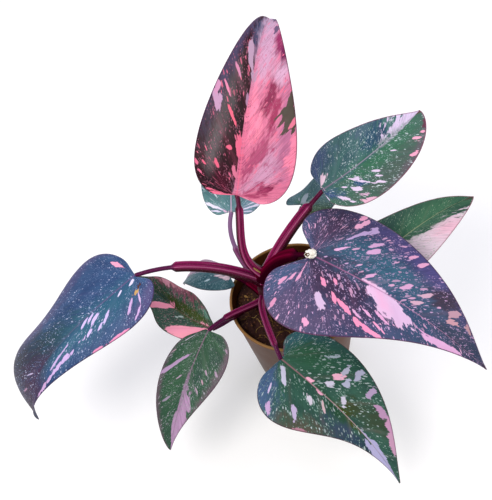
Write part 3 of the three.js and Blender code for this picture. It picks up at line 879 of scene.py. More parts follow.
# Deep is painted shade, bright the painted lit side, and the last colour a painted highlight that also
# colours the specks.
YOUNG_PETIOLE = petiole_skin("young petiole skin", "340112", "941a5a", "500e32", "f0b4d0", 0.1)
OLD_PETIOLE = petiole_skin("older petiole skin", "2e0110", "841652", "440c38", "e8a8c8", 0.1)
# A darker copy of the skin: painted shade for petioles that lie in shadow.
SHADED_PETIOLE = petiole_skin("shaded petiole skin", "26010e", "620424", "2c0418", "900c44", 0.0)
REAR_PETIOLE = petiole_skin("purple-grey petiole skin", "4c2040", "8a4a78", "84648c", "b888b0", 0.1)


def beyond(shade, first, second, ragged, soft):
    """A mark over all that lies to the left of a line between two (degrees, share) places."""
    start = Vector((first[0] / 180, first[1]))
    way = (Vector((second[0] / 180, second[1])) - start).normalized()
    far = 20.0
    centre = start + Vector((-way.y, way.x)) * far
    turn = math.degrees(math.atan2(way.x, -way.y))
    return (shade, centre.x * 180, centre.y, far * 180, 1e5, ragged / far, soft / far, -turn)


def grow(leaf, petiole_finish, blade_finish):
    dress(blade(leaf), blade_finish)
    dress(petiole(leaf), petiole_finish)


# A leaf's first line is its petiole: the height of its foot, its directions there and at the blade, its
# radius, and the sheath's share of it. The second is the spine from neck to tip, with its directions at
# both. The third is the outline of the left and right halves: widths, how fast they narrow to the tip,
# how far the basal lobes reach back, how deep the notch is cut, and how far the margin sways. The fourth
# is the surface: how steeply the halves fold up, their droop, the ripple of the margin, its waves and
# their phase, and the side veins of a half. Lengths are in mm, directions (heading, pitch) and the fold
# in degrees, and the phase in radians.
PLAIN_LEAF = {"sinus": (0.3, 0.3), "droop": (0.1, 0.1), "waves": 3, "phase": 0, "sway": (0, 0)}

leaf_top = dict(
    PLAIN_LEAF,
    name="leaf_top",
    foot=139, leaves=(175, 52), arrives=(80, 85), stalk=4, sheath=0.88,
    neck=(-29, 15, 235), runs_out=(50, 58), tip=(34, 128, 301), ends=(80, -76),
    half_width=(40, 44), point=(2.3, 2.4), lobe=(0.06, 0.06),
    fold=(14, 4), droop=(0.12, 0.1), ripple=1.5, phase=0.5, veins=9,
)
leaf_top_skin = leaf_skin(
    "half pink leaf skin", ground=("16060e", "2b0f18"), threads=("4a1228", 0.3),
    zones=[
        # The first two zones, grey on the dark left half, are a painted sheen.
        ("5a5256", 70, -0.62, 22, 0.14, 0.6, 0.8), ("464044", 94, -0.6, 12, 0.18, 0.6, 0.8),
        ("423b58", 104, -0.95, 30, 0.2, 0.4, 0.7), ("2b3a58", 128, -0.3, 13, 0.4, 0.3, 0.5),
        ("0d0510", 36, -0.45, 16, 0.35, 0.4, 0.6), ("420a22", 54, -0.25, 14, 0.2, 0.8, 0.8),
        beyond("d67294", (0, -0.035), (180, -0.035), 0.02, 0.01),
        ("c892b2", 66, 0.48, 13, 0.42, 0.7, 0.6), ("b56a90", 74, 0.86, 20, 0.2, 0.9, 0.7),
        ("a9486f", 60, 0.2, 5, 0.2, 1.4, 0.6), ("a9486f", 78, 0.32, 5, 0.3, 1.6, 0.5),
        ("c89ab8", 116, 0.45, 14, 0.5, 0.5, 0.6), ("cea0be", 98, 0.86, 5, 0.24, 0.5, 0.5),
        ("b39ab4", 142, 0.5, 18, 1, 0.5, 0.6), ("86204c", 93, 0.54, 5.5, 0.19, 0.9, 0.4),
        ("9c2c58", 87, 0.62, 4, 0.16, 1.2, 0.5), ("7a1544", 48, 0.5, 5, 0.2, 1, 0.45),
        ("a23a62", 41, 0.32, 9, 0.22, 1.4, 0.6), ("641a4c", 104, 0.98, 6, 0.14, 0.6, 0.5),
        ("8e2c5c", 112, 0.9, 5, 0.16, 0.7, 0.6), ("f084a4", 96, 0.1, 9, 0.11, 0.9, 0.4),
        ("ee84a2", 88, 0.3, 3, 0.1, 1.2, 0.4), ("f08eaa", 20, 0.7, 10, 0.35, 0.4, 0.5),
        ("ee82a2", 62, 0.98, 8, 0.14, 1, 0.4),
    ],
    flecks=[("e06a8a", 1.5, 4.6, 0.11), ("a8607a", 0.7, 2, 0.2)],
    patches=[
        ("b98fb2", 84, -0.84, 2.6, 0.12, 1, 0.1), ("c48ab0", 87, -0.93, 2.2, 0.07, 0.8, 0.1),
        ("ad8ea8", 113, -0.32, 3.4, 0.34, 0.5, 0.08, -4), ("9a7494", 101, -0.08, 2.6, 0.06, 0.7, 0.15),
        ("c97fa2", 101.5, -0.6, 0.8, 0.13, 0.6, 0.12), ("d980a4", 92, -0.73, 0.7, 0.12, 0.6, 0.12),
        ("e5607c", 89, -0.42, 1, 0.15, 0.7, 0.1), ("e0607f", 80, -0.3, 0.7, 0.08, 0.8, 0.12, 6),
        ("dc6484", 86, -0.08, 2.8, 0.08, 0.9, 0.12), ("d0708e", 76, -0.08, 2, 0.08, 0.9, 0.15),
        ("d8668a", 50, -0.95, 1.6, 0.05, 1.1, 0.12), ("e0607f", 56, -0.75, 1.3, 0.06, 1.1, 0.12),
        ("d8668a", 46, -0.84, 1.3, 0.05, 1.1, 0.12), ("e0607f", 68, -0.5, 1, 0.06, 1.1, 0.12),
        ("ec7090", 15, -0.55, 16, 0.52, 0.4, 0.1), ("484038", 80, 0.97, 5.5, 0.18, 1, 0.05),
        ("484038", 84, 0.76, 0.9, 0.1, 0.8, 0.1), ("484038", 80.5, 0.77, 0.9, 0.1, 0.8, 0.1),
        ("4d423c", 76.5, 0.82, 0.9, 0.1, 0.8, 0.1), ("d8708c", 76, 0.93, 0.9, 0.06, 1.2, 0.15),
        ("5f4a68", 121, 0.84, 2.6, 0.14, 1.4, 0.1), ("5f4a68", 134, 0.9, 5, 0.2, 1.2, 0.1),
    ],
    rib=("e2688a", "bb8ca8"), edge="55283a", below="7d3a52",
)
grow(leaf_top, YOUNG_PETIOLE, leaf_top_skin)

# ----------------------------------------------------------------- the dried edge of the newest sheath
# A papery sliver, pale brown, where the edge of the newest leaf's sheath has dried and peeled away. It is
# still joined to the sheath at its foot, just above the stem.

SLIVER_START = 0.03
SLIVER_END = 0.16
SLIVER_SIDE = np.array([0.05, -0.7, 0.7])


def dried_sliver(leaf):
    line, _ = petiole_line(leaf)
    t = np.linspace(SLIVER_START, SLIVER_END, 24)
    way = way_of(line, t)
    out = SLIVER_SIDE - (way @ SLIVER_SIDE)[:, None] * way
    out /= np.linalg.norm(out, axis=-1, keepdims=True)
    share = np.linspace(0, 1, len(t))
    reach = sheath_radius(leaf, t) * foot_swell(line, t) + (0.3 + 1.6 * share**4) * MM
    path = [Vector(p) for p in on_line(line, t) + out * reach[:, None]]
    radii = [0.15 * MM + 0.75 * MM * math.sin(math.pi * x) ** 0.7 for x in share]
    return heap("dried_sheath_edge", [(*tube(path, radii, 10), 0.7)])


dress(dried_sliver(leaf_top), earthy("dried sheath", "6a4420", "b08a52", "dcc094", 900))

# ------------------------------------------------------------------------- the large leaf at the right
# The broadest blade, nearly level. Its purple-blue is partly its own colour and partly painted sheen, the
# cool sky-lit sheen of a level blade. It is strewn with pale pink flecks, with a large lavender sector
# beside the midrib.

leaf_right_front = dict(
    PLAIN_LEAF,
    name="leaf_right_front",
    foot=132, leaves=(-25, 60), arrives=(-42, 20), stalk=6, sheath=0.8,
    neck=(18, -34, 198), runs_out=(-42, -8), tip=(129, -138, 135), ends=(-44, -41),
    half_width=(60, 64), point=(1.3, 2.5), lobe=(0.2, 0.2), sinus=(0.62, 0.5),
    fold=(6, 4), droop=(0.16, 0.16), ripple=2, waves=4, veins=10,
)
leaf_right_front_skin = leaf_skin(
    # Its purple-blue ground and blue zones are partly painted sheen.
    "purple-blue leaf skin with painted sheen", ground=("343a58", "465274"), threads=("282a46", 0.4),
    zones=[
        ("345e74", 96, -0.3, 26, 0.4, 0.5, 0.8), ("4c477a", 98, -0.92, 40, 0.2, 0.4, 0.8),
        ("443650", 50, -0.5, 18, 0.5, 0.5, 0.8), ("3a2a44", 82, 0.32, 20, 0.4, 0.8, 0.8),
        ("564c6c", 50, 0.8, 30, 0.35, 0.5, 0.8), ("46587a", 30, 0.5, 10, 0.5, 0.5, 0.8),
        ("2f4a68", 120, 0.4, 14, 0.6, 0.5, 0.7), ("3a2e40", 120, -0.75, 7, 0.25, 0.8, 0.7),
        ("2f3a50", 150, 0, 20, 1.2, 0.5, 0.7), ("3c1e2e", 180, 0, 12, 1.5, 0.4, 0.6),
    ],
    flecks=[("dca6ca", 1.6, 5.4, 0.14), ("c09cc6", 0.9, 4.2, 0.14), ("b498c0", 0.55, 2.4, 0.2)],
    patches=[
        ("d8b8d8", 106, 0.25, 7.2, 0.3, 0.5, 0.05), ("d4b2d4", 110, 0.42, 4.6, 0.22, 1, 0.06),
        ("deb8d8", 101, 0.1, 3, 0.12, 0.5, 0.08), ("e0aed0", 103, 0.22, 2.4, 0.26, 0.6, 0.9),
        ("cbb0d0", 75, 0.57, 3.4, 0.11, 0.8, 0.06), ("e58cb0", 82, 0.5, 0.8, 0.09, 1, 0.12),
        ("e58bb0", 79, 0.3, 0.9, 0.05, 1, 0.12), ("ea8cb2", 85.5, 0.6, 1.4, 0.09, 0.9, 0.08, 6),
        ("ee90b4", 89.5, 0.77, 1.5, 0.07, 0.9, 0.08, 4), ("d8a4cc", 90.5, 0.66, 0.9, 0.06, 1, 0.1, 4),
        ("e88cb4", 93, 0.86, 1.5, 0.06, 0.9, 0.08, 4), ("ee93b8", 95.5, 0.94, 1.6, 0.06, 0.9, 0.08, 8),
        ("e79ac0", 98, 0.8, 1, 0.12, 1, 0.1, 6), ("dba0ca", 101, 0.62, 1, 0.12, 1, 0.1, 6),
        ("dba0ca", 95, 0.6, 0.9, 0.1, 1, 0.1, 6), ("e58fb4", 84, 0.22, 0.9, 0.05, 1.1, 0.12),
        ("d898bc", 50, 0.24, 2.2, 0.13, 0.9, 0.1), ("d898bc", 41, 0.42, 1.6, 0.12, 0.9, 0.1),
        ("d898bc", 35, 0.6, 1.2, 0.1, 0.9, 0.1), ("d08cb0", 42, 0.86, 1.4, 0.07, 0.9, 0.1),
        ("de9cc2", 66, 0.86, 1.4, 0.05, 1.2, 0.12), ("d09ac6", 122, 0.66, 2.2, 0.16, 1, 0.08, 10),
        ("d6a4ce", 130, 0.8, 11, 0.2, 0.5, 0.05, 8), ("e8a8cc", 66, -0.78, 2, 0.12, 1, 0.08),
        ("eda3ca", 62, -0.9, 1.4, 0.06, 1.2, 0.08), ("b9a0d0", 74, -0.64, 2.1, 0.2, 0.9, 0.06),
        ("cda0ca", 84, -0.6, 1, 0.08, 0.8, 0.1), ("cda0ca", 87, -0.48, 1.3, 0.1, 0.8, 0.1),
        ("d6a4cc", 80, -0.28, 0.9, 0.08, 0.8, 0.1), ("d99cc0", 100, -0.88, 1.1, 0.08, 0.8, 0.1),
        ("d99cc0", 95, -0.84, 0.8, 0.07, 0.8, 0.1), ("cf9dc4", 109, -0.36, 1.2, 0.1, 0.8, 0.1),
        ("cf9dc4", 99, -0.1, 1, 0.08, 0.8, 0.1), ("c8a0b6", 115.5, -0.48, 1.3, 0.13, 0.8, 0.1),
        ("c8a0b6", 118.5, -0.22, 1.2, 0.12, 0.8, 0.1), ("b48c9c", 127, -0.76, 2.2, 0.12, 1.1, 0.1),
        ("c0909c", 132, -0.52, 2.2, 0.16, 1, 0.1), ("b08890", 137, -0.9, 3.4, 0.08, 1, 0.1),
    ],
    rib=("8c5078", "bc8cb0"), edge="5a2c50", below="6b6a70",
)
grow(leaf_right_front, SHADED_PETIOLE, leaf_right_front_skin)

# ------------------------------------------------------------------------------- a crumb of perlite
# A puffed white crumb of perlite, splashed up at watering, has dried on to the blade at its neck. One end
# has a hollow ringed with a brown stain.

PERLITE_PLACE = Vector((17.6, -34.4, 200.4)) * MM
PERLITE_REACH = Vector((4.9, 3.9, 2.9)) * MM
PERLITE_HOLLOW = Vector((-0.72, -0.3, 0.62))
HOLLOW_DEPTH = 0.4
HOLLOW_REACH = 0.28
STAIN_REACH = 0.34
STAIN_WIDTH = 0.17


def perlite_crumb():
    points, faces = ball(5, 1)
    stains = []
    for i, p in enumerate(points):
        away = (p - PERLITE_HOLLOW).length
        puffs = 1 + 0.28 * noise.noise(p * 1.7) + 0.18 * noise.noise(p * 4.3)
        hollow = HOLLOW_DEPTH * peak(away, HOLLOW_REACH)
        points[i] = PERLITE_PLACE + p * (puffs - hollow) * PERLITE_REACH
        stains.append(peak(away - STAIN_REACH, STAIN_WIDTH))
    piece = mesh_piece("perlite_crumb", points, faces)
    keep(piece, "tone", stains)
    return piece


def perlite_skin():
    material, tree = new_material("puffed perlite")
    place = own_place(tree)
    cells = node(tree, "TexVoronoi", {"Vector": place, "Scale": 900}).outputs["Distance"]
    cloud = grain_of(tree, place, 300, detail=4)
    base = over(tree, "f6f4ee", "d9d2c4", ramp(tree, cloud, 0.35, 0.65))
    base = over(tree, base, "4c3412", ramp(tree, read(tree, "tone", "Fac"), 0.2, 0.8))
    finish(tree, base, ramp(tree, cloud, -0.9, 0.9), cells, 0.6, 0.4 * MM, gloss=0.2)
    return material


dress(perlite_crumb(), perlite_skin())

# ------------------------------------------------------------------------- the upper leaf at the right
# A firm blade held up at a slant. One half ends in a white-pink sector that runs into the tip, beside a
# deep blue-green one, and white patches lie along the veins of the other.

leaf_right_upper = dict(
    PLAIN_LEAF,
    name="leaf_right_upper",
    foot=126, leaves=(18, 60), arrives=(12, 40), stalk=5.4, sheath=0.86,
    neck=(41, 18, 212), runs_out=(8, 20), tip=(134, 47, 246), ends=(26, 14),
    half_width=(38, 41), point=(1.2, 0.3), lobe=(0.06, 0.03), sinus=(0, 0),
    fold=(10, 10), ripple=1.2, phase=1, veins=9,
)
leaf_right_upper_skin = leaf_skin(
    "white-flecked leaf skin", ground=("38585e", "46706a"), threads=("284248", 0.35),
    zones=[
        ("51648a", 40, -0.7, 26, 0.5, 0.5, 0.8), ("284a60", 115, -0.4, 10, 0.65, 0.8, 0.4),
        ("24445c", 123, -0.3, 7, 0.4, 0.8, 0.35), ("46606e", 104, -0.85, 10, 0.2, 0.8, 0.6),
        beyond("d2c0de", (126, 0.05), (135, -1), 0.12, 0.012),
        beyond("3f6454", (0, 0.04), (180, 0.1), 0.05, 0.02), ("33684c", 125, 0.3, 40, 0.35, 0.5, 0.8),
        ("485a50", 100, 0.8, 34, 0.3, 0.8, 0.8), ("5c565c", 125, 0.97, 40, 0.1, 0.6, 0.8),
        ("37507c", 50, 0.25, 18, 0.25, 0.6, 0.6), ("2f4c70", 84, 0.4, 4, 0.14, 0.9, 0.4),
    ],
    flecks=[("d2dee2", 1.0, 3.0, 0.12), ("aec4c6", 0.7, 2.0, 0.16)],
    patches=[
        ("d6c4dd", 56, 0.55, 4.4, 0.17, 1.1, 0.08), ("d6c4dd", 55, 0.8, 2.6, 0.06, 0.9, 0.1),
        ("d6c4dd", 75, 0.5, 3.6, 0.1, 1.1, 0.08), ("d3c2dc", 87.5, 0.27, 2.2, 0.13, 1.1, 0.08),
        ("d3c2dc", 86, 0.46, 1.2, 0.15, 1.1, 0.08), ("d6c4dd", 99, 0.42, 1.5, 0.09, 0.9, 0.1),
        ("d6c4dd", 94, 0.58, 1, 0.08, 0.9, 0.1), ("d6c4dd", 88, 0.74, 1, 0.09, 0.9, 0.1),
        ("d6c4dd", 75, 0.26, 1, 0.05, 0.9, 0.1), ("d6c4dd", 122, 0.4, 0.9, 0.09, 0.9, 0.1),
        ("c9a4be", 71, 0.8, 2, 0.1, 1.2, 0.1), ("d8a8c0", 64, 0.96, 6, 0.1, 1, 0.1),
        ("f0d4e4", 62, -0.15, 9, 0.17, 0.4, 0.08), ("dccdee", 24, 0.4, 2.6, 0.4, 0.3, 0.08),
        ("e5a0ba", 134, 0.82, 2, 0.1, 1.1, 0.1), ("e59ab6", 142, 0.9, 2, 0.08, 1.1, 0.1),
        ("e59ab6", 117, 0.9, 2.4, 0.07, 1.2, 0.1), ("5a3040", 152, 0.97, 6, 0.1, 0.8, 0.3),
        ("5a3a38", 178, 0, 5, 1.5, 0.5, 0.4),
    ],
    rib=("86708a", "a89bb2"), edge="7c3a56", below="6f7a68",
)
grow(leaf_right_upper, YOUNG_PETIOLE, leaf_right_upper_skin)

# ------------------------------------------------------------------------------ the leaf at the far left
# A long drooping blade with a waved margin and a hooked tip. Its indigo is partly its own colour and
# partly painted sheen, broken by fine white flecks, lavender streaks in its lower half and one pink patch
# near the neck.

leaf_left = dict(
    PLAIN_LEAF,
    name="leaf_left",
    foot=124, leaves=(176, 50), arrives=(185, -2), stalk=5.2, sheath=0.74,
    neck=(-131, 12, 170), runs_out=(199, -19), tip=(-250, -54, 84), ends=(290, -74),
    half_width=(34, 56), point=(2, 0.5), lobe=(0.11, 0.04), sinus=(0.5, 0.3), sway=(0.04, 0.19),
    fold=(2, 2), droop=(0.3, 0.3), ripple=4, waves=4, phase=-2.9, veins=9,
)
leaf_left_skin = leaf_skin(
    # Its indigo ground and blue zones are partly painted sheen.
    "indigo leaf skin with painted sheen", ground=("2b426a", "38557c"), threads=("253562", 0.35),
    zones=[
        ("2a464e", 118, 0.25, 22, 0.45, 0.5, 0.8), ("4f4468", 112, 0.95, 26, 0.22, 0.5, 0.8),
        ("4a4a72", 60, 0.97, 30, 0.12, 0.5, 0.8), ("504a78", 40, -0.85, 20, 0.24, 0.5, 0.8),
        ("333840", 128, 0.7, 16, 0.45, 0.5, 0.8), ("2e2632", 156, 0.1, 24, 1.4, 0.4, 0.8),
        ("46344c", 142, -0.5, 20, 1, 0.4, 0.6), ("2c0c1a", 180, 0, 20, 1.6, 0.3, 0.5),
        ("2f6076", 92, -0.3, 24, 0.35, 0.5, 0.8),
    ],
    flecks=[("c4cae8", 0.7, 3.2, 0.07), ("8498c0", 0.45, 2.6, 0.17)],
    patches=[
        ("f2a0be", 46, 0.36, 6, 0.17, 0.6, 0.06), ("c8acde", 112, -0.76, 5.8, 0.17, 0.9, 0.06, -22),
        ("c4a0cc", 121, -0.84, 4.2, 0.12, 0.8, 0.08, -22),
        ("c0a8d8", 109, -0.45, 2.2, 0.14, 0.8, 0.08, -12), ("cdb8ea", 97, -0.12, 1.1, 0.09, 0.8, 0.12),
        ("cdb8ea", 93.5, -0.13, 1, 0.1, 0.8, 0.12), ("cdb8ea", 90, -0.24, 1.4, 0.14, 0.8, 0.12),
        ("cdb8ea", 90, -0.5, 1.1, 0.07, 0.8, 0.12), ("c9b6e8", 82, -0.42, 0.9, 0.1, 0.9, 0.12),
        ("c9b6e8", 84, -0.56, 1, 0.07, 0.9, 0.12), ("c9a4d6", 63, -0.55, 1.8, 0.14, 0.8, 0.1),
        ("d0b0dc", 49, -0.55, 1.2, 0.18, 0.8, 0.1), ("c9a4d6", 54, -0.84, 1.5, 0.12, 0.8, 0.1, -12),
        ("d8d0f0", 73, -0.07, 0.9, 0.05, 0.7, 0.12), ("d8d0f0", 79, -0.1, 0.9, 0.06, 0.7, 0.12),
        ("b4aacc", 137, 0.3, 0.5, 0.09, 0.7, 0.15), ("9c7c98", 146, 0.45, 0.6, 0.12, 0.7, 0.15),
        ("e690ba", 68, -0.98, 5.5, 0.04, 0.6, 0.15), ("dc8cb4", 81, -0.98, 2.6, 0.04, 0.6, 0.15),
        ("c39a5e", 54, -0.37, 6.5, 0.06, 1.2, 0.1, 30), ("4c2c22", 44, -0.31, 6.5, 0.04, 1.2, 0.1),
    ],
    rib=("6b5080", "415a78"), edge="3c2040", below="5f6676",
)
grow(leaf_left, OLD_PETIOLE, leaf_left_skin)

# ---------------------------------------------------------------------------- the leaf behind the newest
# A blade on a thin purple-grey petiole, mostly hidden. Its base shows teal-green, with white streaks that
# fan out from the neck along the veins.

leaf_top_rear = dict(
    PLAIN_LEAF,
    name="leaf_top_rear",
    foot=114, leaves=(135, 52), arrives=(50, 45), stalk=3.4, sheath=0.6,
    neck=(-37, 48, 178), runs_out=(76, 26), tip=(-11, 154, 205), ends=(76, -8),
    half_width=(27, 33), point=(1.3, 1.3), lobe=(0.07, 0.08),
    fold=(8, 8), ripple=1.5, veins=8,
)
leaf_top_rear_skin = leaf_skin(
    "teal leaf skin", ground=("42686c", "5b8688"), threads=("35565c", 0.3),
    zones=[("6f8ea0", 40, 0.5, 30, 0.6, 0.5, 0.8)],
    flecks=[("dfe4f0", 1.6, 4.0, 0.2), ("b9cdd6", 0.8, 3.0, 0.2)],
    patches=[
        ("e2e0f4", 44, -0.5, 3.6, 0.5, 0.9, 0.1), ("d6d2ea", 33, -0.62, 2.2, 0.4, 0.9, 0.1),
        ("dcd8ee", 40, 0.6, 2, 0.45, 0.9, 0.1), ("d2d6ea", 48, 0.62, 1.5, 0.4, 0.9, 0.1),
        ("d2d6ea", 30, 0.55, 1.3, 0.4, 0.9, 0.1), ("d9b4d0", 30, -0.1, 20, 0.14, 0.5, 0.4),
    ],
    rib=("c9a6c4", "b9b4c4"), edge="4a5a60", below="6f8480",
)
grow(leaf_top_rear, REAR_PETIOLE, leaf_top_rear_skin)

# ------------------------------------------------------------------------ the half white leaf at the right
# A long blade that leans out low behind its neighbours. One half is dark green. The other is mostly
# pinkish white, with a jagged border that follows the veins.

leaf_right_rear = dict(
    PLAIN_LEAF,
    name="leaf_right_rear",
    foot=110, leaves=(-18, 45), arrives=(0, 12), stalk=3.6, sheath=0.7,
    neck=(45, -30, 146), runs_out=(20, 5), tip=(175, 19, 153), ends=(13, -8),
    half_width=(31, 36), point=(1.2, 0.6), lobe=(0.1, 0.1),
    fold=(12, 12), ripple=1.5, veins=10,
)
leaf_right_rear_skin = leaf_skin(
    "half white leaf skin", ground=("1f4034", "335c44"), threads=("1c382c", 0.3),
    zones=[
        beyond("d6c2ce", (107, 0), (145, 0.95), 0.14, 0.02), ("e3b3c4", 122, 0.85, 10, 0.3, 0.5, 0.8),
        beyond("2f5844", (180, 0), (0, 0), 0.0, 0.01), ("24453e", 85, -0.4, 22, 0.5, 0.5, 0.8),
        ("3f6c50", 130, -0.4, 20, 0.6, 0.5, 0.8), ("4a3a34", 176, 0, 8, 1.2, 0.5, 0.5),
    ],
    flecks=[("7fa080", 0.7, 4.0, 0.1), ("a8b8a0", 0.5, 3.0, 0.08)],
    patches=[("5a3a40", 93, 0.8, 0.5, 0.02, 0.5, 0.2)],
    rib=("8fa070", "a8ae88"), edge="8a4a5c", below="6a7458",
)
grow(leaf_right_rear, OLD_PETIOLE, leaf_right_rear_skin)

# ------------------------------------------------------------------ the small leaf under the upper one
# An older green blade with a waved margin and one pale streak. It is carried low on the stem, and most
# of it lies below its neighbour.

leaf_right_upper_rear = dict(
    PLAIN_LEAF,
    name="leaf_right_upper_rear",
    foot=108, leaves=(70, 60), arrives=(40, 40), stalk=3.4, sheath=0.7,
    neck=(26, 50, 160), runs_out=(18, 16), tip=(88, 69, 170), ends=(16, 4),
    half_width=(18, 23), point=(1.2, 1.2), lobe=(0.22, 0.18), sinus=(0, 0), sway=(0.12, 0),
    fold=(6, 6), ripple=2.5, waves=5, phase=-1, veins=7,
)
leaf_right_upper_rear_skin = leaf_skin(
    "plain green leaf skin", ground=("4a6c72", "5e8288"), threads=("34544e", 0.3),
    zones=[("47603c", 60, 0.6, 24, 0.6, 0.5, 0.8), ("4a7a6a", 60, -0.2, 24, 0.3, 0.5, 0.8)],
    flecks=[("9fc0b4", 0.7, 2.5, 0.16), ("86a89c", 0.5, 2.0, 0.16)],
    patches=[("a9bac2", 80, -0.2, 6, 0.22, 0.9, 0.12), ("9fb0b8", 60, -0.4, 3, 0.12, 0.8, 0.2)],
    rib=("8f9a94", "a0aaa4"), edge="4f4450", below="66745c",
)
grow(leaf_right_upper_rear, OLD_PETIOLE, leaf_right_upper_rear_skin)

# ---------------------------------------------------------------------------------- the leaf at the front
# It hangs over the rim of the pot. It is deep green, blue-grey at the base of one half, with an olive
# blotch in the middle, and lavender sectors lie along its midrib and its margin towards the tip.

leaf_front = dict(
    PLAIN_LEAF,
    name="leaf_front",
    foot=102, leaves=(-125, 40), arrives=(-80, -40), stalk=3.8, sheath=0.86,
    neck=(-26, -71, 114), runs_out=(-52, -14), tip=(46, -176, 45), ends=(-66, -46),
    half_width=(46, 47), point=(1.2, 3.4), lobe=(0.12, 0.06), sinus=(0.55, 0.4), sway=(0, 0.06),
    fold=(6, 6), droop=(0.12, 0.12), ripple=2.5, waves=4, phase=1.3, veins=10,
)
leaf_front_skin = leaf_skin(
    "deep green leaf skin", ground=("264840", "355f50"), threads=("20402f", 0.35),
    zones=[
        ("40597e", 36, 0.62, 22, 0.6, 0.5, 0.6), ("34606a", 40, -0.7, 26, 0.4, 0.5, 0.8),
        ("2e5a42", 66, -0.35, 22, 0.4, 0.5, 0.8), ("174428", 102, 0.24, 9, 0.26, 0.5, 0.7),
        ("2c3f55", 104, 0.78, 14, 0.4, 0.6, 0.6), ("26364a", 122, 0.7, 8, 0.5, 0.6, 0.5),
        ("343f0c", 110, -0.24, 5, 0.2, 1, 0.6), ("3c4208", 113, 0, 4, 0.2, 1, 0.6),
        ("334430", 118, -0.62, 10, 0.4, 0.6, 0.8), ("4d4c40", 78, 0.92, 14, 0.2, 0.8, 0.8),
    ],
    flecks=[("b4c4c6", 1.3, 3.8, 0.17), ("8fb0a4", 0.8, 2.5, 0.17)],
    patches=[
        ("efb4cc", 90, -0.5, 1.9, 0.11, 0.8, 0.08), ("ccc8dc", 95, -0.24, 2.1, 0.08, 0.9, 0.1),
        ("b0b2c8", 87, -0.66, 1.3, 0.12, 0.9, 0.1, 8), ("acaec8", 90, -0.82, 1.9, 0.12, 0.9, 0.1, 8),
        ("a6b4c0", 76, -0.68, 1.5, 0.1, 1, 0.12), ("b0b4cc", 96, -0.5, 1.9, 0.1, 1, 0.12, 8),
        ("b098bc", 101, -0.84, 2, 0.13, 0.9, 0.1, 8), ("c6c4d6", 108, -0.16, 2.2, 0.12, 1, 0.1, 10),
        ("b48cb0", 113, -0.86, 5, 0.1, 0.8, 0.1), ("c08fb2", 122, -0.93, 5, 0.1, 0.7, 0.1),
        ("c294b2", 134, -0.9, 8.5, 0.14, 0.7, 0.1), ("a8a4ca", 146, 0.52, 27, 0.7, 0.2, 0.03),
        ("c8c6dc", 69, 0.22, 1.5, 0.15, 0.6, 0.1), ("d0cad8", 84, 0.33, 1.8, 0.09, 0.9, 0.1),
        ("b8aacc", 74, 0.72, 2.1, 0.13, 0.9, 0.1), ("bc9cc6", 52, 0.86, 3, 0.08, 0.9, 0.1),
        ("c5b4d6", 47, 0.6, 1.4, 0.1, 0.9, 0.12), ("a87888", 76, 0.98, 3, 0.03, 0.8, 0.15),
        ("c9aeb4", 92, 0.24, 0.7, 0.14, 1.1, 0.15), ("f0b0ca", 91, 0, 1.8, 0.06, 0.6, 0.12),
        ("6b3048", 8, -0.4, 14, 0.6, 0.8, 0.4),
    ],
    rib=("9a6674", "d4bcc0"), edge="4a2438", below="66705c",
)
grow(leaf_front, OLD_PETIOLE, leaf_front_skin)

# -------------------------------------------------------------------------- the lower leaf at the left
# A neat oval blade, grey-green with a mauve margin. A lavender-pink sector runs along the midrib into the
# tip, and one lavender stripe crosses the other half.

leaf_front_left = dict(
    PLAIN_LEAF,
    name="leaf_front_left",
    foot=98, leaves=(214, 14), arrives=(208, -12), stalk=3.6, sheath=0.75,
    neck=(-82, -27, 117), runs_out=(227, -20), tip=(-141, -100, 55), ends=(238, -42),
    half_width=(30, 28), point=(2, 0.5), lobe=(0.05, -0.03),
    fold=(4, 4), ripple=0.8, veins=9,
)
leaf_front_left_skin = leaf_skin(
    "mauve-edged leaf skin", ground=("26453a", "355a40"), threads=("1f3528", 0.35),
    zones=[
        beyond("b08ab0", (100.5, 0), (119, -1), 0.07, 0.012),
        beyond("2c4a3a", (0, 0.02), (180, 0.02), 0.02, 0.01), ("b08ab0", 152, 0.08, 17, 0.17, 0.2, 0.1),
        ("2b5238", 95, 0.4, 34, 0.45, 0.5, 0.8), ("5c4c58", 95, 1, 60, 0.14, 0.6, 0.8),
        ("6a5664", 60, -1, 50, 0.16, 0.6, 0.8),
    ],
    flecks=[("aba8b4", 0.8, 3.6, 0.13), ("7f9a8c", 0.5, 2.6, 0.24)],
    patches=[
        ("ab8eb2", 83, 0.8, 2.6, 0.34, 0.4, 0.06), ("ab8eb2", 81.5, 0.44, 2.1, 0.28, 0.4, 0.06),
        ("c4b4cc", 54, 0.4, 2, 0.14, 0.9, 0.1), ("b9a8b8", 42, 0.36, 1.4, 0.1, 0.9, 0.1),
        ("a890a4", 98.5, -0.62, 1.3, 0.12, 0.9, 0.12), ("b090a0", 90, -0.6, 0.9, 0.06, 0.9, 0.12),
        ("a890a4", 83, -0.55, 1, 0.06, 0.9, 0.12), ("a890a8", 73, -0.84, 1.2, 0.08, 0.9, 0.12),
        ("a58aa0", 45, -0.88, 2, 0.06, 0.9, 0.12), ("8f8498", 114, 0.6, 1.4, 0.14, 0.9, 0.15),
        ("a890a8", 100, 0.3, 0.9, 0.1, 0.9, 0.15), ("a08a94", 62, 0.84, 1.2, 0.06, 0.9, 0.15),
    ],
    rib=("83607a", "a486a4"), edge="46283a", below="667060",
)
grow(leaf_front_left, OLD_PETIOLE, leaf_front_left_skin)

# -------------------------------------------------------------------------- the inner leaf at the left
# Olive-green beside the midrib, with a pink and brown speckled margin, a pink sector across one half and
# a pink basal lobe. Its margin is waved.

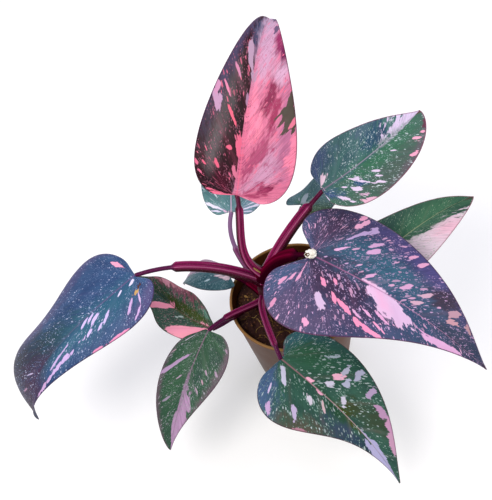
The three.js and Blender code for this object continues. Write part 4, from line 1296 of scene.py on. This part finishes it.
leaf_left_inner = dict(
    PLAIN_LEAF,
    name="leaf_left_inner",
    foot=93, leaves=(198, 36), arrives=(186, -8), stalk=3, sheath=0.7,
    neck=(-79, -19, 106), runs_out=(145, 4), tip=(-141, 58, 108), ends=(130, 2),
    half_width=(25, 21), point=(1.2, 0.6), lobe=(0.1, -0.04), sinus=(0, 0), sway=(0.08, 0),
    fold=(14, 14), ripple=2, waves=7, phase=-2.2, veins=9,
)
leaf_left_inner_skin = leaf_skin(
    "olive leaf skin", ground=("284236", "385a44"), threads=("20362a", 0.3),
    zones=[
        ("37470f", 100, 0.18, 40, 0.22, 0.6, 0.7), ("5b8a7a", 54, 0.5, 7, 0.24, 0.8, 0.6),
        ("7e4656", 100, 0.95, 34, 0.36, 1.3, 0.35), ("b8747e", 112, 0.98, 18, 0.14, 1.3, 0.4),
        ("24463f", 130, -0.4, 12, 0.6, 0.5, 0.6),
    ],
    flecks=[("b8848c", 0.8, 2.6, 0.16), ("8aa08a", 0.6, 3.0, 0.16)],
    patches=[
        ("ff9cb0", 113, -0.5, 5.6, 0.62, 0.3, 0.05), ("f29ab0", 68, -0.5, 16, 0.52, 0.25, 0.05),
        ("c98a98", 118, 0.9, 6, 0.16, 1.2, 0.2), ("a8b8b0", 97, -0.15, 1.2, 0.06, 0.8, 0.2),
        ("9aaea4", 96, -0.3, 1.2, 0.05, 0.8, 0.2),
    ],
    rib=("6a3a44", "55602a"), edge="4a2a30", below="66704c",
)
grow(leaf_left_inner, OLD_PETIOLE, leaf_left_inner_skin)

# ------------------------------------------------------------------------- the small leaf behind a petiole
# A short blade that hangs behind the left leaf's petiole: teal-blue with a pinkish white band by the rib,
# and mauve on its upper half.

leaf_left_rear = dict(
    PLAIN_LEAF,
    name="leaf_left_rear",
    foot=93, leaves=(128, 36), arrives=(140, -6), stalk=3, sheath=0.6,
    neck=(-52, 35, 105), runs_out=(155, 10), tip=(-102, 71, 60), ends=(158, -70),
    half_width=(20, 15), point=(1.2, -0.6), lobe=(0.14, 0.14), sinus=(0, 0),
    fold=(4, 4), ripple=2, waves=4, veins=7,
)
leaf_left_rear_skin = leaf_skin(
    "teal-blue leaf skin", ground=("2a4e58", "3a6068"), threads=("22444e", 0.3),
    zones=[
        beyond("a0809a", (0, 0), (180, 0), 0.05, 0.02), ("a8849a", 90, 0.8, 60, 0.4, 0.8, 0.6),
        ("dcc0cc", 62, -0.12, 22, 0.14, 0.6, 0.15),
    ],
    flecks=[("a8c4cc", 0.7, 2.5, 0.16), ("8fb0b8", 0.5, 2.0, 0.16)],
    patches=[("a9bfc8", 84, -0.5, 1.6, 0.1, 0.8, 0.2)],
    rib=("a8849c", "9aa0b0"), edge="4a4050", below="5f7474",
)
grow(leaf_left_rear, SHADED_PETIOLE, leaf_left_rear_skin)

# --------------------------------------------------------------------------------------------- the stage
# A plain pale floor under soft light from above, with a broad cool light high behind the plant that lays
# a lilac sheen on the level blades.

LIGHTS_AIM_AT = Vector((0, 0, 0.12))


def floor_paint():
    material, tree = new_material("pale floor")
    place = own_place(tree)
    base = over(tree, "c6c6c7", "cacaca", grain_of(tree, place, 3))
    glow = {"Emission_Color": (1, 1, 1, 1), "Emission_Strength": 0.45}
    finish(tree, base, 0.85, grain_of(tree, place, 900, detail=2), 0.03, 1 * MM, gloss=0.1, **glow)
    return material


bpy.ops.mesh.primitive_plane_add(size=12, location=(0, 0, 0))
floor = bpy.context.active_object
floor.name = "floor"
floor.data.materials.append(floor_paint())


def soft_light(name, place, size, power, shade):
    data = bpy.data.lights.new(name, "AREA")
    data.shape = "DISK"
    data.size = size
    data.energy = power
    data.color = colour(shade)[:3]
    lamp = bpy.data.objects.new(name, data)
    bpy.context.scene.collection.objects.link(lamp)
    lamp.location = place
    lamp.rotation_euler = (LIGHTS_AIM_AT - Vector(place)).to_track_quat("-Z", "Y").to_euler()


soft_light("key", (-0.9, -0.6, 1.7), 1.1, 26, "fffaf6")
soft_light("fill", (1.3, -0.5, 1.3), 1.3, 12, "faf8ff")
soft_light("sky", (0.1, 1.2, 1.5), 1.3, 12, "e4e2ff")

world = bpy.data.worlds.new("soft room")
world.use_nodes = True
fill(world.node_tree, world.node_tree.nodes["Background"], {"Color": (1, 1, 1, 1), "Strength": 0.4})
bpy.context.scene.world = world

# -------------------------------------------------------------------------------------------- the camera
# It looks down on the plant from the front, turned a little about its own axis.

LOOKS_AT = Vector((0, 0, 0.1))
LOOKS_DOWN = math.radians(52)
ROLL = math.radians(-14)
DISTANCE = 0.77
SHIFT_RIGHT = -0.0436
SHIFT_UP = 0.041

lens = bpy.data.cameras.new("camera")
lens.lens = 60
lens.sensor_width = 36
lens.clip_start = 0.01
lens.clip_end = 50
camera = bpy.data.objects.new("camera", lens)
bpy.context.scene.collection.objects.link(camera)
back = Vector((0, -math.cos(LOOKS_DOWN), math.sin(LOOKS_DOWN)))
level = Vector((1, 0, 0))
rising = back.cross(level)
right = level * math.cos(ROLL) + rising * math.sin(ROLL)
upward = rising * math.cos(ROLL) - level * math.sin(ROLL)
eye = LOOKS_AT + back * DISTANCE + right * SHIFT_RIGHT + upward * SHIFT_UP
axes = Matrix((right, upward, back)).transposed()
camera.matrix_world = Matrix.Translation(eye) @ axes.to_4x4()
bpy.context.scene.camera = camera
bpy.context.scene.view_settings.view_transform = "Standard"
